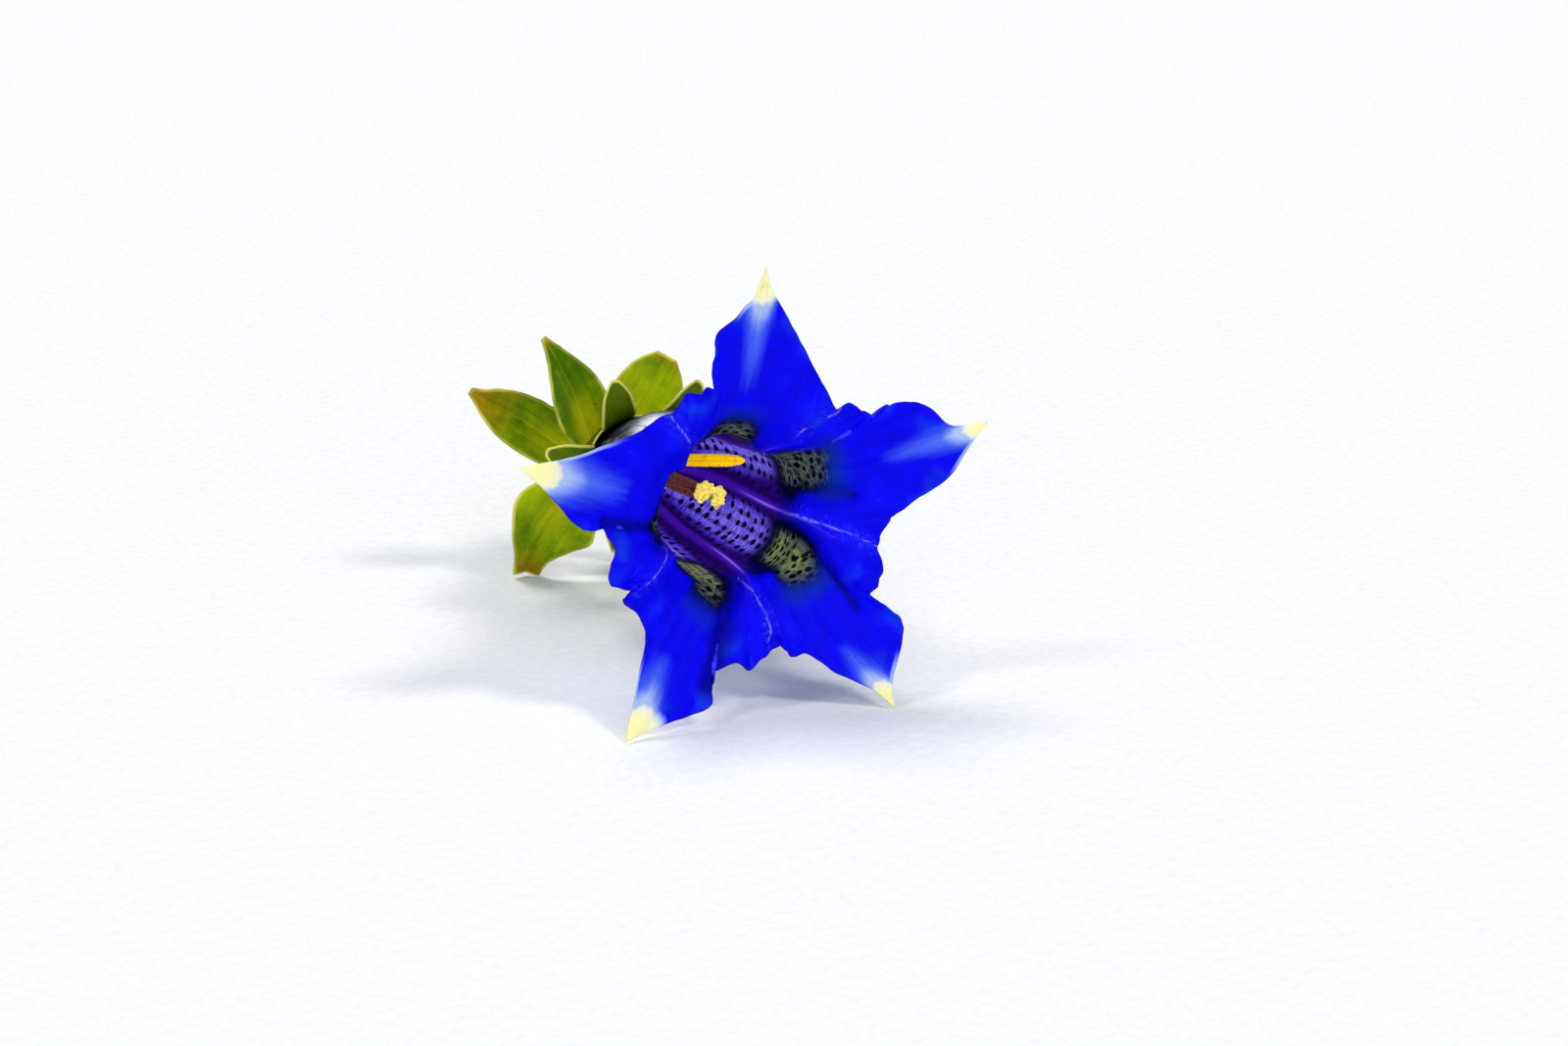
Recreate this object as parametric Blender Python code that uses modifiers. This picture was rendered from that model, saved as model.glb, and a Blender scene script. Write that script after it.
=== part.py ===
"""A picked trumpet gentian, lying with its mouth to the front.

The flower is modelled standing on its stem, in millimetres: X is right and Y is up as seen by someone who
looks into the mouth, and Z runs from the stem to the mouth. An empty then lays it down on two lobe tips and
one leaf tip, the way a picked flower comes to rest.
"""

import math

import bmesh
import bpy
import numpy as np
from mathutils import Vector

MM = 0.001

# How the flower lies: the mouth looks up a little, and the stem end droops behind it.
MOUTH_LIFT = 7.0
BASE_PLACE = (-0.78, 19.89, 14.44)

# The bent line through the flower, as (height, offset to the right, offset upwards).
AXIS_KNOTS = [
    (-9.0, -0.2, -5.0),
    (0.0, -1.0, -1.7),
    (7.0, -1.7, 0.4),
    (14.0, -1.9, 1.3),
    (22.0, -1.2, 1.1),
    (30.0, -0.4, 0.5),
    (39.0, 0.0, 0.0),
    (47.0, 0.0, 0.0),
]

# Thickness of the sheets, and the gap kept where two pieces seat on each other.
PETAL_WALL = 0.6
CALYX_WALL = 0.6
LEAF_WALL = 0.65
SEAT_GAP = 0.3

# Corolla: radius of the tube by height, then height of the spreading limb by radius.
THROAT_HEIGHT = 39.0
THROAT_RADIUS = 7.8
TUBE_RADII = [
    (1.8, 1.6),
    (6.0, 2.5),
    (10.0, 3.2),
    (14.0, 4.0),
    (18.0, 5.2),
    (22.0, 6.3),
    (26.0, 6.8),
    (30.0, 7.1),
    (35.0, 7.4),
    (THROAT_HEIGHT, THROAT_RADIUS),
]
LIMB_HEIGHTS = [
    (THROAT_RADIUS, THROAT_HEIGHT),
    (9.6, 41.0),
    (12.0, 42.3),
    (15.0, 43.3),
    (18.0, 44.3),
    (21.0, 45.3),
    (25.0, 46.5),
    (30.0, 47.7),
]
# Rows up the tube, as heights, and then out along the limb, as shares of the way to the rim.
TUBE_ROWS = [1.8, 6.0, 10.5, 15.0, 19.5, 24.0, 29.0, 34.0, 37.5]
LIMB_ROWS = [0.0, 0.09, 0.2, 0.33, 0.48, 0.65, 0.83, 1.0]
RIM_SPLITS = 2
# The rim's columns are turned against the throat's, and the turn is over at this radius.
TURN_ENDS_AT = 13.2

# The pleats between the lobes press in as ridges, and each lobe runs down the tube as a shallow channel.
# Both are depths by position in a column, from 0 at the base over 1 at the throat to 2 at the rim.
RIDGE_HALF_ANGLE = 11.0
RIDGE_ROUNDNESS = 1.6
RIDGE_DEPTHS = [
    (0.0, 0.05),
    (0.3, 0.6),
    (0.6, 1.15),
    (0.9, 1.5),
    (1.1, 1.0),
    (1.4, 0.4),
    (1.7, 0.15),
    (2.0, 0.05),
]
CHANNEL_DEPTHS = [
    (0.0, 0.0),
    (0.36, 0.15),
    (0.6, 0.5),
    (1.0, 0.7),
    (1.2, 0.7),
    (1.5, 0.35),
    (2.0, -0.1),
]
# The rim waves by this much, and the wave turns by this angle from one column to the next.
RIM_WAVE = 0.35
WAVE_STEP = 1.9

# Rim of the corolla as (azimuth, radius), anticlockwise as seen from the front. Each lobe starts at its
# notch, rises to its tip and falls over a round shoulder, and the pleat after it runs to the next notch.
LOBES = [
    dict(
        throat=28.0, channel=1.0, ridge=0.45,
        notch=(-4.4, 15.6),
        rise=[(1.2, 18.0), (7.3, 21.5), (14.5, 24.3)],
        tip=(17.7, 26.3),
        fall=[(20.0, 23.0), (26.5, 21.8), (32.0, 20.2), (33.6, 18.4)],
        end=(34.0, 16.7),
        pleat=[(38.5, 16.3), (42.6, 15.8)],
    ),
    dict(
        throat=88.0, channel=0.9, ridge=0.5,
        notch=(45.5, 14.6),
        rise=[(60.4, 16.5), (76.0, 20.6), (82.4, 23.3), (83.8, 24.5)],
        tip=(84.7, 25.7),
        fall=[(85.4, 24.2), (86.6, 22.6), (91.8, 20.7), (96.7, 19.2), (98.4, 17.4)],
        end=(98.9, 13.6),
        pleat=[(101.7, 14.0), (105.5, 13.6), (110.0, 14.2), (120.0, 13.5)],
    ),
    dict(
        throat=174.0, channel=-0.3, ridge=0.45,
        notch=(130.1, 13.7),
        rise=[(143.6, 15.7), (153.2, 19.0), (158.6, 22.9)],
        tip=(160.5, 24.9),
        fall=[(164.4, 21.9), (170.1, 19.1), (175.0, 17.5), (176.6, 16.2)],
        end=(177.2, 14.5),
        pleat=[(184.6, 13.4), (193.5, 14.2), (199.4, 15.0), (203.2, 13.8)],
    ),
    dict(
        throat=247.0, channel=-0.1, ridge=0.6,
        notch=(206.0, 13.2),
        rise=[(209.0, 14.6), (216.0, 14.0), (224.3, 15.1), (230.7, 19.4)],
        tip=(234.5, 24.6),
        fall=[(240.3, 22.2), (248.2, 20.1), (254.4, 18.9), (255.4, 17.2)],
        end=(255.7, 15.4),
        pleat=[(263.7, 14.4), (269.9, 15.1), (276.0, 14.4)],
    ),
    dict(
        throat=320.0, channel=1.0, ridge=1.0,
        notch=(285.0, 13.6),
        rise=[(287.5, 15.0), (293.3, 15.6), (297.5, 18.2), (303.2, 21.6)],
        tip=(305.1, 24.6),
        fall=[(307.9, 22.9), (314.8, 21.4), (322.0, 20.2), (324.4, 18.6)],
        end=(324.8, 15.9),
        pleat=[(331.0, 16.0), (337.5, 15.8), (345.0, 14.8)],
    ),
]

# Calyx: a cup round the tube's base, cut into five small leafy lobes that bend outwards.
CALYX_FLOOR = 0.6
CALYX_RIM = 14.0
CALYX_RADII = [(0.6, 1.5), (1.2, 2.3), (6.0, 3.4), (10.0, 4.25), (14.0, 5.1)]
CALYX_ROWS = [1.2, 4.0, 7.5, 11.0, 14.0]
CALYX_COLUMNS = 8
CALYX_LOBE_COLUMNS = 5
CALYX_LOBE_WIDTHS = [(0.0, 1.75), (0.3, 1.95), (0.6, 1.8), (0.85, 1.1), (1.0, 0.3)]
CALYX_LOBE_ROWS = [0.22, 0.45, 0.68, 0.86, 1.0]
# Each lobe as (azimuth of its base, azimuth of its tip, length, angle from the flower's line at its tip).
CALYX_LOBES = [
    (48.0, 57.0, 6.6, 62.0),
    (112.0, 100.0, 5.8, 58.0),
    (172.0, 160.0, 6.2, 66.0),
    (243.0, 246.0, 6.0, 45.0),
    (315.0, 312.0, 6.2, 50.0),
]

# Stem: cut off a little below the lowest leaves.
STEM_RADIUS = 1.6
STEM_TOP = 0.0
STEM_CUT = -9.0
STEM_POINTS = 5

# Leaves in opposite pairs up the stem. Widths run from the base to the tip, as parts of the half width, and
# the blade rises from its middle line to its edges by the keel's share of the half width.
LEAF_ROWS = 10
LEAF_COLUMNS = 6
KEEL_ROUNDNESS = 1.5
LEAF_SEAT = 0.5
LEAF_SHAPES = {
    "acute": [(0.0, 0.4), (0.15, 0.62), (0.4, 1.0), (0.62, 0.88), (0.85, 0.42), (1.0, 0.05)],
    "broad": [(0.0, 0.4), (0.2, 0.7), (0.5, 1.0), (0.75, 0.86), (0.9, 0.5), (1.0, 0.06)],
    "blunt": [(0.0, 0.45), (0.2, 0.7), (0.45, 0.95), (0.68, 1.0), (0.88, 0.72), (1.0, 0.3)],
    "waisted": [(0.0, 0.4), (0.2, 0.8), (0.42, 1.0), (0.62, 0.72), (0.8, 0.42), (1.0, 0.3)],
}
# Heading and rise are the leaf's directions at its base and at its tip, in degrees.
LEAVES = [
    dict(height=-1.0, heading=(112, 119), rise=(32, 2), length=16.7, width=6.4,
         shape="acute", keel=0.28, roll=12),
    dict(height=-1.0, heading=(300, 294), rise=(12, -8), length=11.2, width=6.0,
         shape="acute", keel=0.25, roll=0),
    dict(height=-3.2, heading=(66, 58), rise=(34, 6), length=14.0, width=7.8,
         shape="blunt", keel=0.22, roll=-6),
    dict(height=-3.2, heading=(212, 264), rise=(8, -34), length=12.55, width=10.0,
         shape="waisted", keel=0.2, roll=4),
    dict(height=-5.6, heading=(136, 150), rise=(34, 6), length=19.3, width=6.2,
         shape="broad", keel=0.25, roll=-14),
    dict(height=-5.6, heading=(328, 332), rise=(24, -4), length=17.3, width=6.8,
         shape="broad", keel=0.25, roll=8),
]

# Stamens: five filaments along the tube wall. Four anthers close round the style and one stands away.
STAMEN_AZIMUTHS = [58.0, 131.0, 210.5, 283.5, 354.0]
FILAMENT_RADIUS = 0.3
FILAMENT_HEIGHTS = (7.0, 10.0, 13.0, 16.0)
ANTHER_RADIUS = 0.42
ANTHER_RING = 1.12
ANTHER_FOOT = 22.5
ANTHER_TOP = 29.0
ANTHER_SWELL = [(0.0, 0.6), (0.08, 0.95), (0.3, 1.0), (0.7, 1.0), (0.93, 0.85), (1.0, 0.4)]
LOOSE_ANTHER_FOOT = (-0.9, 3.7, 27.5)
LOOSE_ANTHER_TOP = (3.4, 4.3, 34.3)
LOOSE_ANTHER_RADIUS = 0.65

# Pistil: ovary on a short stalk, style, and a stigma of two fan-shaped halves.
PISTIL_RADII = [
    (1.3, 0.6),
    (4.0, 0.65),
    (8.0, 1.1),
    (12.0, 1.45),
    (16.0, 1.0),
    (20.0, 0.5),
    (23.0, 0.38),
    (31.0, 0.38),
]
PISTIL_POINTS = 15
STIGMA_HEIGHT = 31.3
STIGMA_PLACE = (0.5, 0.55)
STYLE_LEANS_FROM = 20.0
STIGMA_HALF = (0.95, 1.35, 0.4)
STIGMA_SPREAD = 0.76
STIGMA_SEGMENTS = 14
STIGMA_RINGS = 8

WELD = 1e-6

COLOURS = {
    "petal": ((0.0, 0.0, 0.85), 0.55),
    "calyx": ((0.16, 0.27, 0.02), 0.5),
    "leaf": ((0.2, 0.36, 0.0), 0.45),
    "stem": ((0.25, 0.33, 0.05), 0.5),
    "anther": ((0.9, 0.42, 0.01), 0.7),
    "pistil": ((0.75, 0.6, 0.12), 0.6),
}


def smooth(knots, x):
    """The value at x of a smooth curve through (x, value) knots."""
    xs, values = np.array(knots, float).T
    slopes = np.gradient(values, xs)
    index = int(np.clip(np.searchsorted(xs, x) - 1, 0, len(xs) - 2))
    step = xs[index + 1] - xs[index]
    t = min(max((x - xs[index]) / step, 0.0), 1.0)
    start = values[index] * (1 + 2 * t) * (1 - t) ** 2 + slopes[index] * step * t * (1 - t) ** 2
    stop = values[index + 1] * t * t * (3 - 2 * t) - slopes[index + 1] * step * t * t * (1 - t)
    return float(start + stop)


def axis(height):
    """The point of the flower's bent line at this height."""
    sideways = smooth([(z, x) for z, x, _ in AXIS_KNOTS], height)
    upwards = smooth([(z, y) for z, _, y in AXIS_KNOTS], height)
    return Vector((sideways, upwards, height))


def around(azimuth, radius):
    return Vector((math.cos(math.radians(azimuth)), math.sin(math.radians(azimuth)), 0.0)) * radius


def split_through(corners, splits):
    """Points on a smooth curve through (azimuth, radius) corners, as (share of its length, x, y)."""
    flat = [around(*corner) for corner in corners]
    xs = [(i, point.x) for i, point in enumerate(flat)]
    ys = [(i, point.y) for i, point in enumerate(flat)]
    spots = np.linspace(0, len(flat) - 1, (len(flat) - 1) * splits + 1)
    line = np.array([(smooth(xs, spot), smooth(ys, spot)) for spot in spots])
    run = np.concatenate([[0.0], np.cumsum(np.hypot(*np.diff(line, axis=0).T))])
    return [(length / run[-1], x, y) for length, (x, y) in zip(run, line)]


def material(name):
    colour, roughness = COLOURS[name]
    made = bpy.data.materials.new(name)
    made.use_nodes = True
    shader = made.node_tree.nodes["Principled BSDF"]
    shader.inputs["Base Color"].default_value = (*colour, 1.0)
    shader.inputs["Roughness"].default_value = roughness
    shader.inputs["Metallic"].default_value = 0.0
    return made


def add_piece(name, data, finish, flower, lie):
    """Makes a named object with its finish, on the flower's empty."""
    piece = bpy.data.objects.new(name, data)
    data.materials.append(FINISHES[finish])
    flower.objects.link(piece)
    piece.parent = lie
    return piece


def sheet_through(rows, closed, skip=None):
    """A sheet through rows of points in millimetres, and its grid. skip(row, column) leaves a face out."""
    sheet = bmesh.new()
    grid = [[sheet.verts.new(point * MM) for point in row] for row in rows]
    columns = len(rows[0]) if closed else len(rows[0]) - 1
    for i in range(len(rows) - 1):
        for j in range(columns):
            if skip and skip(i, j):
                continue
            k = (j + 1) % len(rows[0])
            sheet.faces.new((grid[i][j], grid[i][k], grid[i + 1][k], grid[i + 1][j]))
    loose = [vert for vert in sheet.verts if not vert.link_faces]
    bmesh.ops.delete(sheet, geom=loose, context="VERTS")
    return sheet, grid


def add_sheet(name, sheet, wall, finish, flower, lie):
    """Turns a sheet into a solid of this wall, half on each side of the sheet."""
    bmesh.ops.triangulate(sheet, faces=sheet.faces[:], quad_method="SHORT_EDGE")
    bmesh.ops.recalc_face_normals(sheet, faces=sheet.faces[:])
    data = bpy.data.meshes.new(name)
    sheet.to_mesh(data)
    sheet.free()
    data.shade_smooth()
    piece = add_piece(name, data, finish, flower, lie)
    solid = piece.modifiers.new("Wall", "SOLIDIFY")
    solid.thickness = wall * MM
    solid.offset = 0.0


def ridge_share(across):
    """How far a ridge stands up at this place across it, which runs from -1 to 1."""
    return (1 - abs(across) ** RIDGE_ROUNDNESS) / 2 + (1 + math.cos(math.pi * across)) / 4


def rim_columns():
    """Each column: (throat azimuth, rim azimuth, rim radius, share of ridge, of channel and of rim wave)."""
    columns = []
    last = len(LOBES) - 1
    for k, lobe in enumerate(LOBES):
        before = LOBES[k - 1]["throat"] - (360.0 if k == 0 else 0.0)
        after = LOBES[0]["throat"] + 360.0 if k == last else LOBES[k + 1]["throat"]
        right_crease = (before + lobe["throat"]) / 2 + RIDGE_HALF_ANGLE
        left_crease = (after + lobe["throat"]) / 2 - RIDGE_HALF_ANGLE
        next_notch = LOBES[(k + 1) % len(LOBES)]["notch"]
        rise = [lobe["notch"], *lobe["rise"], lobe["tip"]]
        fall = [lobe["tip"], *lobe["fall"], lobe["end"]]
        pleat = [lobe["end"], *lobe["pleat"], next_notch]
        stretches = [
            (rise, right_crease, lobe["throat"], -1.0, 0.0),
            (fall, lobe["throat"], left_crease, 0.0, 1.0),
            (pleat, left_crease, left_crease + 2 * RIDGE_HALF_ANGLE, -1.0, 1.0),
        ]
        for corners, start, stop, first_across, last_across in stretches:
            for share, x, y in split_through(corners, RIM_SPLITS)[:-1]:
                across = first_across + (last_across - first_across) * share
                ridge = lobe["ridge"] * ridge_share(across) if corners is pleat else 0.0
                channel = 0.0 if corners is pleat else lobe["channel"] * (1 - across**2)
                wave = math.sin(WAVE_STEP * len(columns)) * (1.0 if corners is pleat else abs(across))
                throat = start + (stop - start) * share
                rim = math.degrees(math.atan2(y, x))
                rim += 360.0 * round((throat - rim) / 360.0)
                columns.append((throat, rim, math.hypot(x, y), ridge, channel, wave))
    return columns


def corolla_column(throat, rim, rim_radius, ridge, channel, wave):
    """The points of one column, from the base of the tube to the rim."""
    path = [(smooth(TUBE_RADII, z), throat, z, z / THROAT_HEIGHT) for z in TUBE_ROWS]
    for share in LIMB_ROWS:
        radius = THROAT_RADIUS + (rim_radius - THROAT_RADIUS) * share
        turned = min((radius - THROAT_RADIUS) / (TURN_ENDS_AT - THROAT_RADIUS), 1.0)
        azimuth = throat + (rim - throat) * (1 - (1 - turned) ** 2)
        path.append((radius, azimuth, smooth(LIMB_HEIGHTS, radius), 1.0 + share))
    points = []
    for i, (radius, azimuth, height, position) in enumerate(path):
        below = path[max(i - 1, 0)]
        above = path[min(i + 1, len(path) - 1)]
        run = math.hypot(above[0] - below[0], above[2] - below[2])
        inwards = (above[2] - below[2]) / run
        forwards = (above[0] - below[0]) / run
        depth = ridge * smooth(RIDGE_DEPTHS, position) - channel * smooth(CHANNEL_DEPTHS, position)
        depth += wave * RIM_WAVE * max(position - 1.0, 0.0) ** 3
        point = axis(height) + around(azimuth, radius - depth * inwards)
        point.z += depth * forwards
        points.append(point)
    return points


def make_corolla(flower, lie):
    columns = [corolla_column(*column) for column in rim_columns()]
    rows = [list(row) for row in zip(*columns)]
    sheet, _ = sheet_through(rows, closed=True)
    add_sheet("corolla", sheet, PETAL_WALL, "petal", flower, lie)


def calyx_lobe_point(lobe, share, across):
    """A point on a calyx lobe, share of the way to its tip and across from -1 to 1."""
    start, stop, length, lean = lobe
    azimuth = start + (stop - start) * share
    bend = math.radians(lean) * share
    outwards = around(azimuth, length * share * math.sin(bend))
    sideways = around(azimuth + 90.0, across * smooth(CALYX_LOBE_WIDTHS, share))
    forwards = Vector((0.0, 0.0, length * share * math.cos(bend)))
    return axis(CALYX_RIM) + around(start, smooth(CALYX_RADII, CALYX_RIM)) + outwards + sideways + forwards


def calyx_columns():
    """Each column round the cup: (azimuth, its lobe, place across the lobe from -1 to 1)."""
    columns = []
    half_angle = math.degrees(CALYX_LOBE_WIDTHS[0][1] / smooth(CALYX_RADII, CALYX_RIM))
    gap_columns = CALYX_COLUMNS - CALYX_LOBE_COLUMNS
    for k, lobe in enumerate(CALYX_LOBES):
        for j in range(CALYX_LOBE_COLUMNS):
            across = 2 * j / CALYX_LOBE_COLUMNS - 1
            columns.append((lobe[0] + half_angle * across, lobe, across))
        next_base = CALYX_LOBES[(k + 1) % len(CALYX_LOBES)][0]
        gap = (next_base - lobe[0]) % 360.0 - 2 * half_angle
        for j in range(gap_columns):
            columns.append((lobe[0] + half_angle + gap * j / gap_columns, lobe, 1.0))
    return columns


def make_calyx(flower, lie):
    columns = calyx_columns()
    rows = []
    for z in CALYX_ROWS:
        rows.append([axis(z) + around(azimuth, smooth(CALYX_RADII, z)) for azimuth, _, _ in columns])
    for share in CALYX_LOBE_ROWS:
        rows.append([calyx_lobe_point(lobe, share, across) for _, lobe, across in columns])

    def between_lobes(row, column):
        return row >= len(CALYX_ROWS) - 1 and column % CALYX_COLUMNS >= CALYX_LOBE_COLUMNS

    sheet, grid = sheet_through(rows, closed=True, skip=between_lobes)
    floor = sheet.verts.new(axis(CALYX_FLOOR) * MM)
    for j in range(len(columns)):
        sheet.faces.new((grid[0][(j + 1) % len(columns)], grid[0][j], floor))
    add_sheet("calyx", sheet, CALYX_WALL, "calyx", flower, lie)


def add_tube(name, points, radii, finish, flower, lie):
    """A round, tapering piece along a line of points."""
    data = bpy.data.curves.new(name, "CURVE")
    data.dimensions = "3D"
    data.bevel_depth = MM
    data.bevel_resolution = 2
    data.use_fill_caps = True
    line = data.splines.new("POLY")
    line.points.add(len(points) - 1)
    for spot, point, radius in zip(line.points, points, radii):
        spot.co = (*(Vector(point) * MM), 1.0)
        spot.radius = radius
    return add_piece(name, data, finish, flower, lie)


def make_stem(flower, lie):
    heights = np.linspace(STEM_CUT, STEM_TOP, STEM_POINTS)
    add_tube("stem", [axis(z) for z in heights], [STEM_RADIUS] * STEM_POINTS, "stem", flower, lie)


def leaf_rows(leaf):
    """The leaf's points, row by row from its base on the stem."""
    headings = np.linspace(*leaf["heading"], LEAF_ROWS)
    rises = np.linspace(*leaf["rise"], LEAF_ROWS)
    step = leaf["length"] / (LEAF_ROWS - 1)
    spot = axis(leaf["height"]) + around(headings[0], STEM_RADIUS + LEAF_SEAT)
    rows = []
    for i, (heading, rise) in enumerate(zip(headings, rises)):
        share = i / (LEAF_ROWS - 1)
        ahead = around(heading, math.cos(math.radians(rise))) + Vector((0, 0, math.sin(math.radians(rise))))
        side = around(heading + 90.0, 1.0)
        up = ahead.cross(side)
        roll = math.radians(leaf["roll"]) * share
        across_way = side * math.cos(roll) + up * math.sin(roll)
        above = up * math.cos(roll) - side * math.sin(roll)
        half = leaf["width"] / 2 * smooth(LEAF_SHAPES[leaf["shape"]], share)
        row = []
        for j in range(LEAF_COLUMNS + 1):
            across = 2 * j / LEAF_COLUMNS - 1
            lift = leaf["keel"] * half * abs(across) ** KEEL_ROUNDNESS
            row.append(spot + across_way * across * half + above * lift)
        rows.append(row)
        spot = spot + ahead * step
    return rows


def make_leaves(flower, lie):
    for number, leaf in enumerate(LEAVES, 1):
        sheet, _ = sheet_through(leaf_rows(leaf), closed=False)
        add_sheet(f"leaf_{number}", sheet, LEAF_WALL, "leaf", flower, lie)


def style_line(height):
    """The point of the style at this height: it leans off the flower's line towards the stigma."""
    lean = Vector((*STIGMA_PLACE, STIGMA_HEIGHT)) - axis(STIGMA_HEIGHT)
    share = max((height - STYLE_LEANS_FROM) / (STIGMA_HEIGHT - STYLE_LEANS_FROM), 0.0)
    return axis(height) + lean * share


def make_stamens(flower, lie):
    for number, azimuth in enumerate(STAMEN_AZIMUTHS, 1):
        loose = number == 1
        foot = Vector(LOOSE_ANTHER_FOOT) if loose else style_line(ANTHER_FOOT) + around(azimuth, ANTHER_RING)
        top = Vector(LOOSE_ANTHER_TOP) if loose else style_line(ANTHER_TOP) + around(azimuth, ANTHER_RING)
        thick = LOOSE_ANTHER_RADIUS if loose else ANTHER_RADIUS
        points = []
        for z in FILAMENT_HEIGHTS:
            wall = smooth(TUBE_RADII, z) - smooth(RIDGE_DEPTHS, z / THROAT_HEIGHT) - PETAL_WALL / 2
            points.append(axis(z) + around(azimuth, wall - SEAT_GAP - FILAMENT_RADIUS))
        points.append(points[-1].lerp(foot, 0.5))
        radii = [FILAMENT_RADIUS] * len(points)
        for share, swell in ANTHER_SWELL:
            points.append(foot.lerp(top, share))
            radii.append(thick * swell)
        add_tube(f"stamen_{number}", points, radii, "anther", flower, lie)


def plain_mesh(curve_piece):
    """The curve object's solid as a mesh, with its caps joined to its sides."""
    graph = bpy.context.evaluated_depsgraph_get()
    data = bpy.data.meshes.new_from_object(curve_piece.evaluated_get(graph))
    welded = bmesh.new()
    welded.from_mesh(data)
    bmesh.ops.remove_doubles(welded, verts=welded.verts[:], dist=WELD)
    welded.to_mesh(data)
    welded.free()
    data.materials.clear()
    data.shade_smooth()
    return data


def stigma_half(side, helpers, lie):
    """One flat, round half of the stigma, to the left or the right of the style."""
    half = bmesh.new()
    bmesh.ops.create_uvsphere(half, u_segments=STIGMA_SEGMENTS, v_segments=STIGMA_RINGS, radius=1.0)
    for vert in half.verts:
        vert.co = Vector([length * size for length, size in zip(vert.co, STIGMA_HALF)])
        vert.co = (vert.co + Vector((*STIGMA_PLACE, STIGMA_HEIGHT))) * MM
        vert.co.x += side * STIGMA_SPREAD * MM
    data = bpy.data.meshes.new("stigma_half")
    half.to_mesh(data)
    half.free()
    lobe = bpy.data.objects.new("stigma_half", data)
    lobe.hide_render = True
    lobe.display_type = "WIRE"
    lobe.parent = lie
    helpers.objects.link(lobe)
    return lobe


def make_pistil(flower, helpers, lie):
    heights = np.linspace(PISTIL_RADII[0][0], PISTIL_RADII[-1][0], PISTIL_POINTS)
    radii = [smooth(PISTIL_RADII, z) for z in heights]
    style = add_tube("style", [style_line(z) for z in heights], radii, "pistil", flower, lie)
    data = plain_mesh(style)
    bpy.data.objects.remove(style)
    pistil = add_piece("pistil", data, "pistil", flower, lie)
    for side in (-1, 1):
        join = pistil.modifiers.new("Stigma", "BOOLEAN")
        join.operation = "UNION"
        join.object = stigma_half(side, helpers, lie)


for old in list(bpy.data.objects):
    bpy.data.objects.remove(old)

FINISHES = {name: material(name) for name in COLOURS}
flower_collection = bpy.data.collections.new("gentian")
helper_collection = bpy.data.collections.new("helpers")
bpy.context.scene.collection.children.link(flower_collection)
bpy.context.scene.collection.children.link(helper_collection)

how_it_lies = bpy.data.objects.new("how_it_lies", None)
how_it_lies.rotation_euler.x = math.radians(90.0 - MOUTH_LIFT)
how_it_lies.location = Vector(BASE_PLACE) * MM
flower_collection.objects.link(how_it_lies)

make_corolla(flower_collection, how_it_lies)
make_calyx(flower_collection, how_it_lies)
make_stem(flower_collection, how_it_lies)
make_leaves(flower_collection, how_it_lies)
make_stamens(flower_collection, how_it_lies)
make_pistil(flower_collection, helper_collection, how_it_lies)
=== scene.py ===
import math

import bmesh
import bpy
import numpy as np
from mathutils import Matrix, Vector


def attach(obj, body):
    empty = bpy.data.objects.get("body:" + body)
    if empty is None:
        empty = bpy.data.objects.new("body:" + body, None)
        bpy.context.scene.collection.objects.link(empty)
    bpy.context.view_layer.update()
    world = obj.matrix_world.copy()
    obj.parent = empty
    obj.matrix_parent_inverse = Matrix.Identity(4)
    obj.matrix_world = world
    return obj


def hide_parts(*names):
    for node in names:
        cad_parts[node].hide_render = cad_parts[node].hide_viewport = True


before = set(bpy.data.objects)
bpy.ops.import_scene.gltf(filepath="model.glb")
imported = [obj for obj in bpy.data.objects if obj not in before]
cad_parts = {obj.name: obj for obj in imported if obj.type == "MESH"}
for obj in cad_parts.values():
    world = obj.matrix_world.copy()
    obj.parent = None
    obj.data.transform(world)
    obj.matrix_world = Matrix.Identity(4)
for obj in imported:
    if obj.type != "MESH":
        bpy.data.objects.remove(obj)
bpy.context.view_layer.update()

# Corolla. The real one is a single fleshy sheet: a ribbed tube that widens to the throat and spreads into
# five pointed lobes, with a toothed pleat between each two. It grows from the flower's base inside the calyx.
# The shape is the solid model's own, with finer steps, in millimetres on a standing flower.

MM = 0.001
# The flower is turned onto its side with its mouth lifted by this many degrees, and its base is put here.
MOUTH_LIFT = 7.0
BASE_PLACE = (-0.78, 19.89, 14.44)
# The flower's bent line, as (height, sideways, upwards).
AXIS_KNOTS = [
    (-9.0, -0.2, -5.0), (0.0, -1.0, -1.7), (7.0, -1.7, 0.4), (14.0, -1.9, 1.3),
    (22.0, -1.2, 1.1), (30.0, -0.4, 0.5), (39.0, 0.0, 0.0), (47.0, 0.0, 0.0),
]
THROAT_HEIGHT = 39.0
THROAT_RADIUS = 7.8
# The tube as (height, radius), and the spread limb as (radius, height).
TUBE_RADII = [
    (1.8, 1.6), (6.0, 2.5), (10.0, 3.2), (14.0, 4.0), (18.0, 5.2),
    (22.0, 6.3), (26.0, 6.8), (30.0, 7.1), (35.0, 7.4), (THROAT_HEIGHT, THROAT_RADIUS),
]
LIMB_HEIGHTS = [
    (THROAT_RADIUS, THROAT_HEIGHT), (9.6, 41.0), (12.0, 42.3), (15.0, 43.3),
    (18.0, 44.3), (21.0, 45.3), (25.0, 46.5), (30.0, 47.7),
]
# A column leaves the throat at one azimuth and has turned to its rim's azimuth at this radius.
TURN_ENDS_AT = 13.2
RIDGE_HALF_ANGLE = 11.0
RIDGE_ROUNDNESS = 1.6
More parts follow.
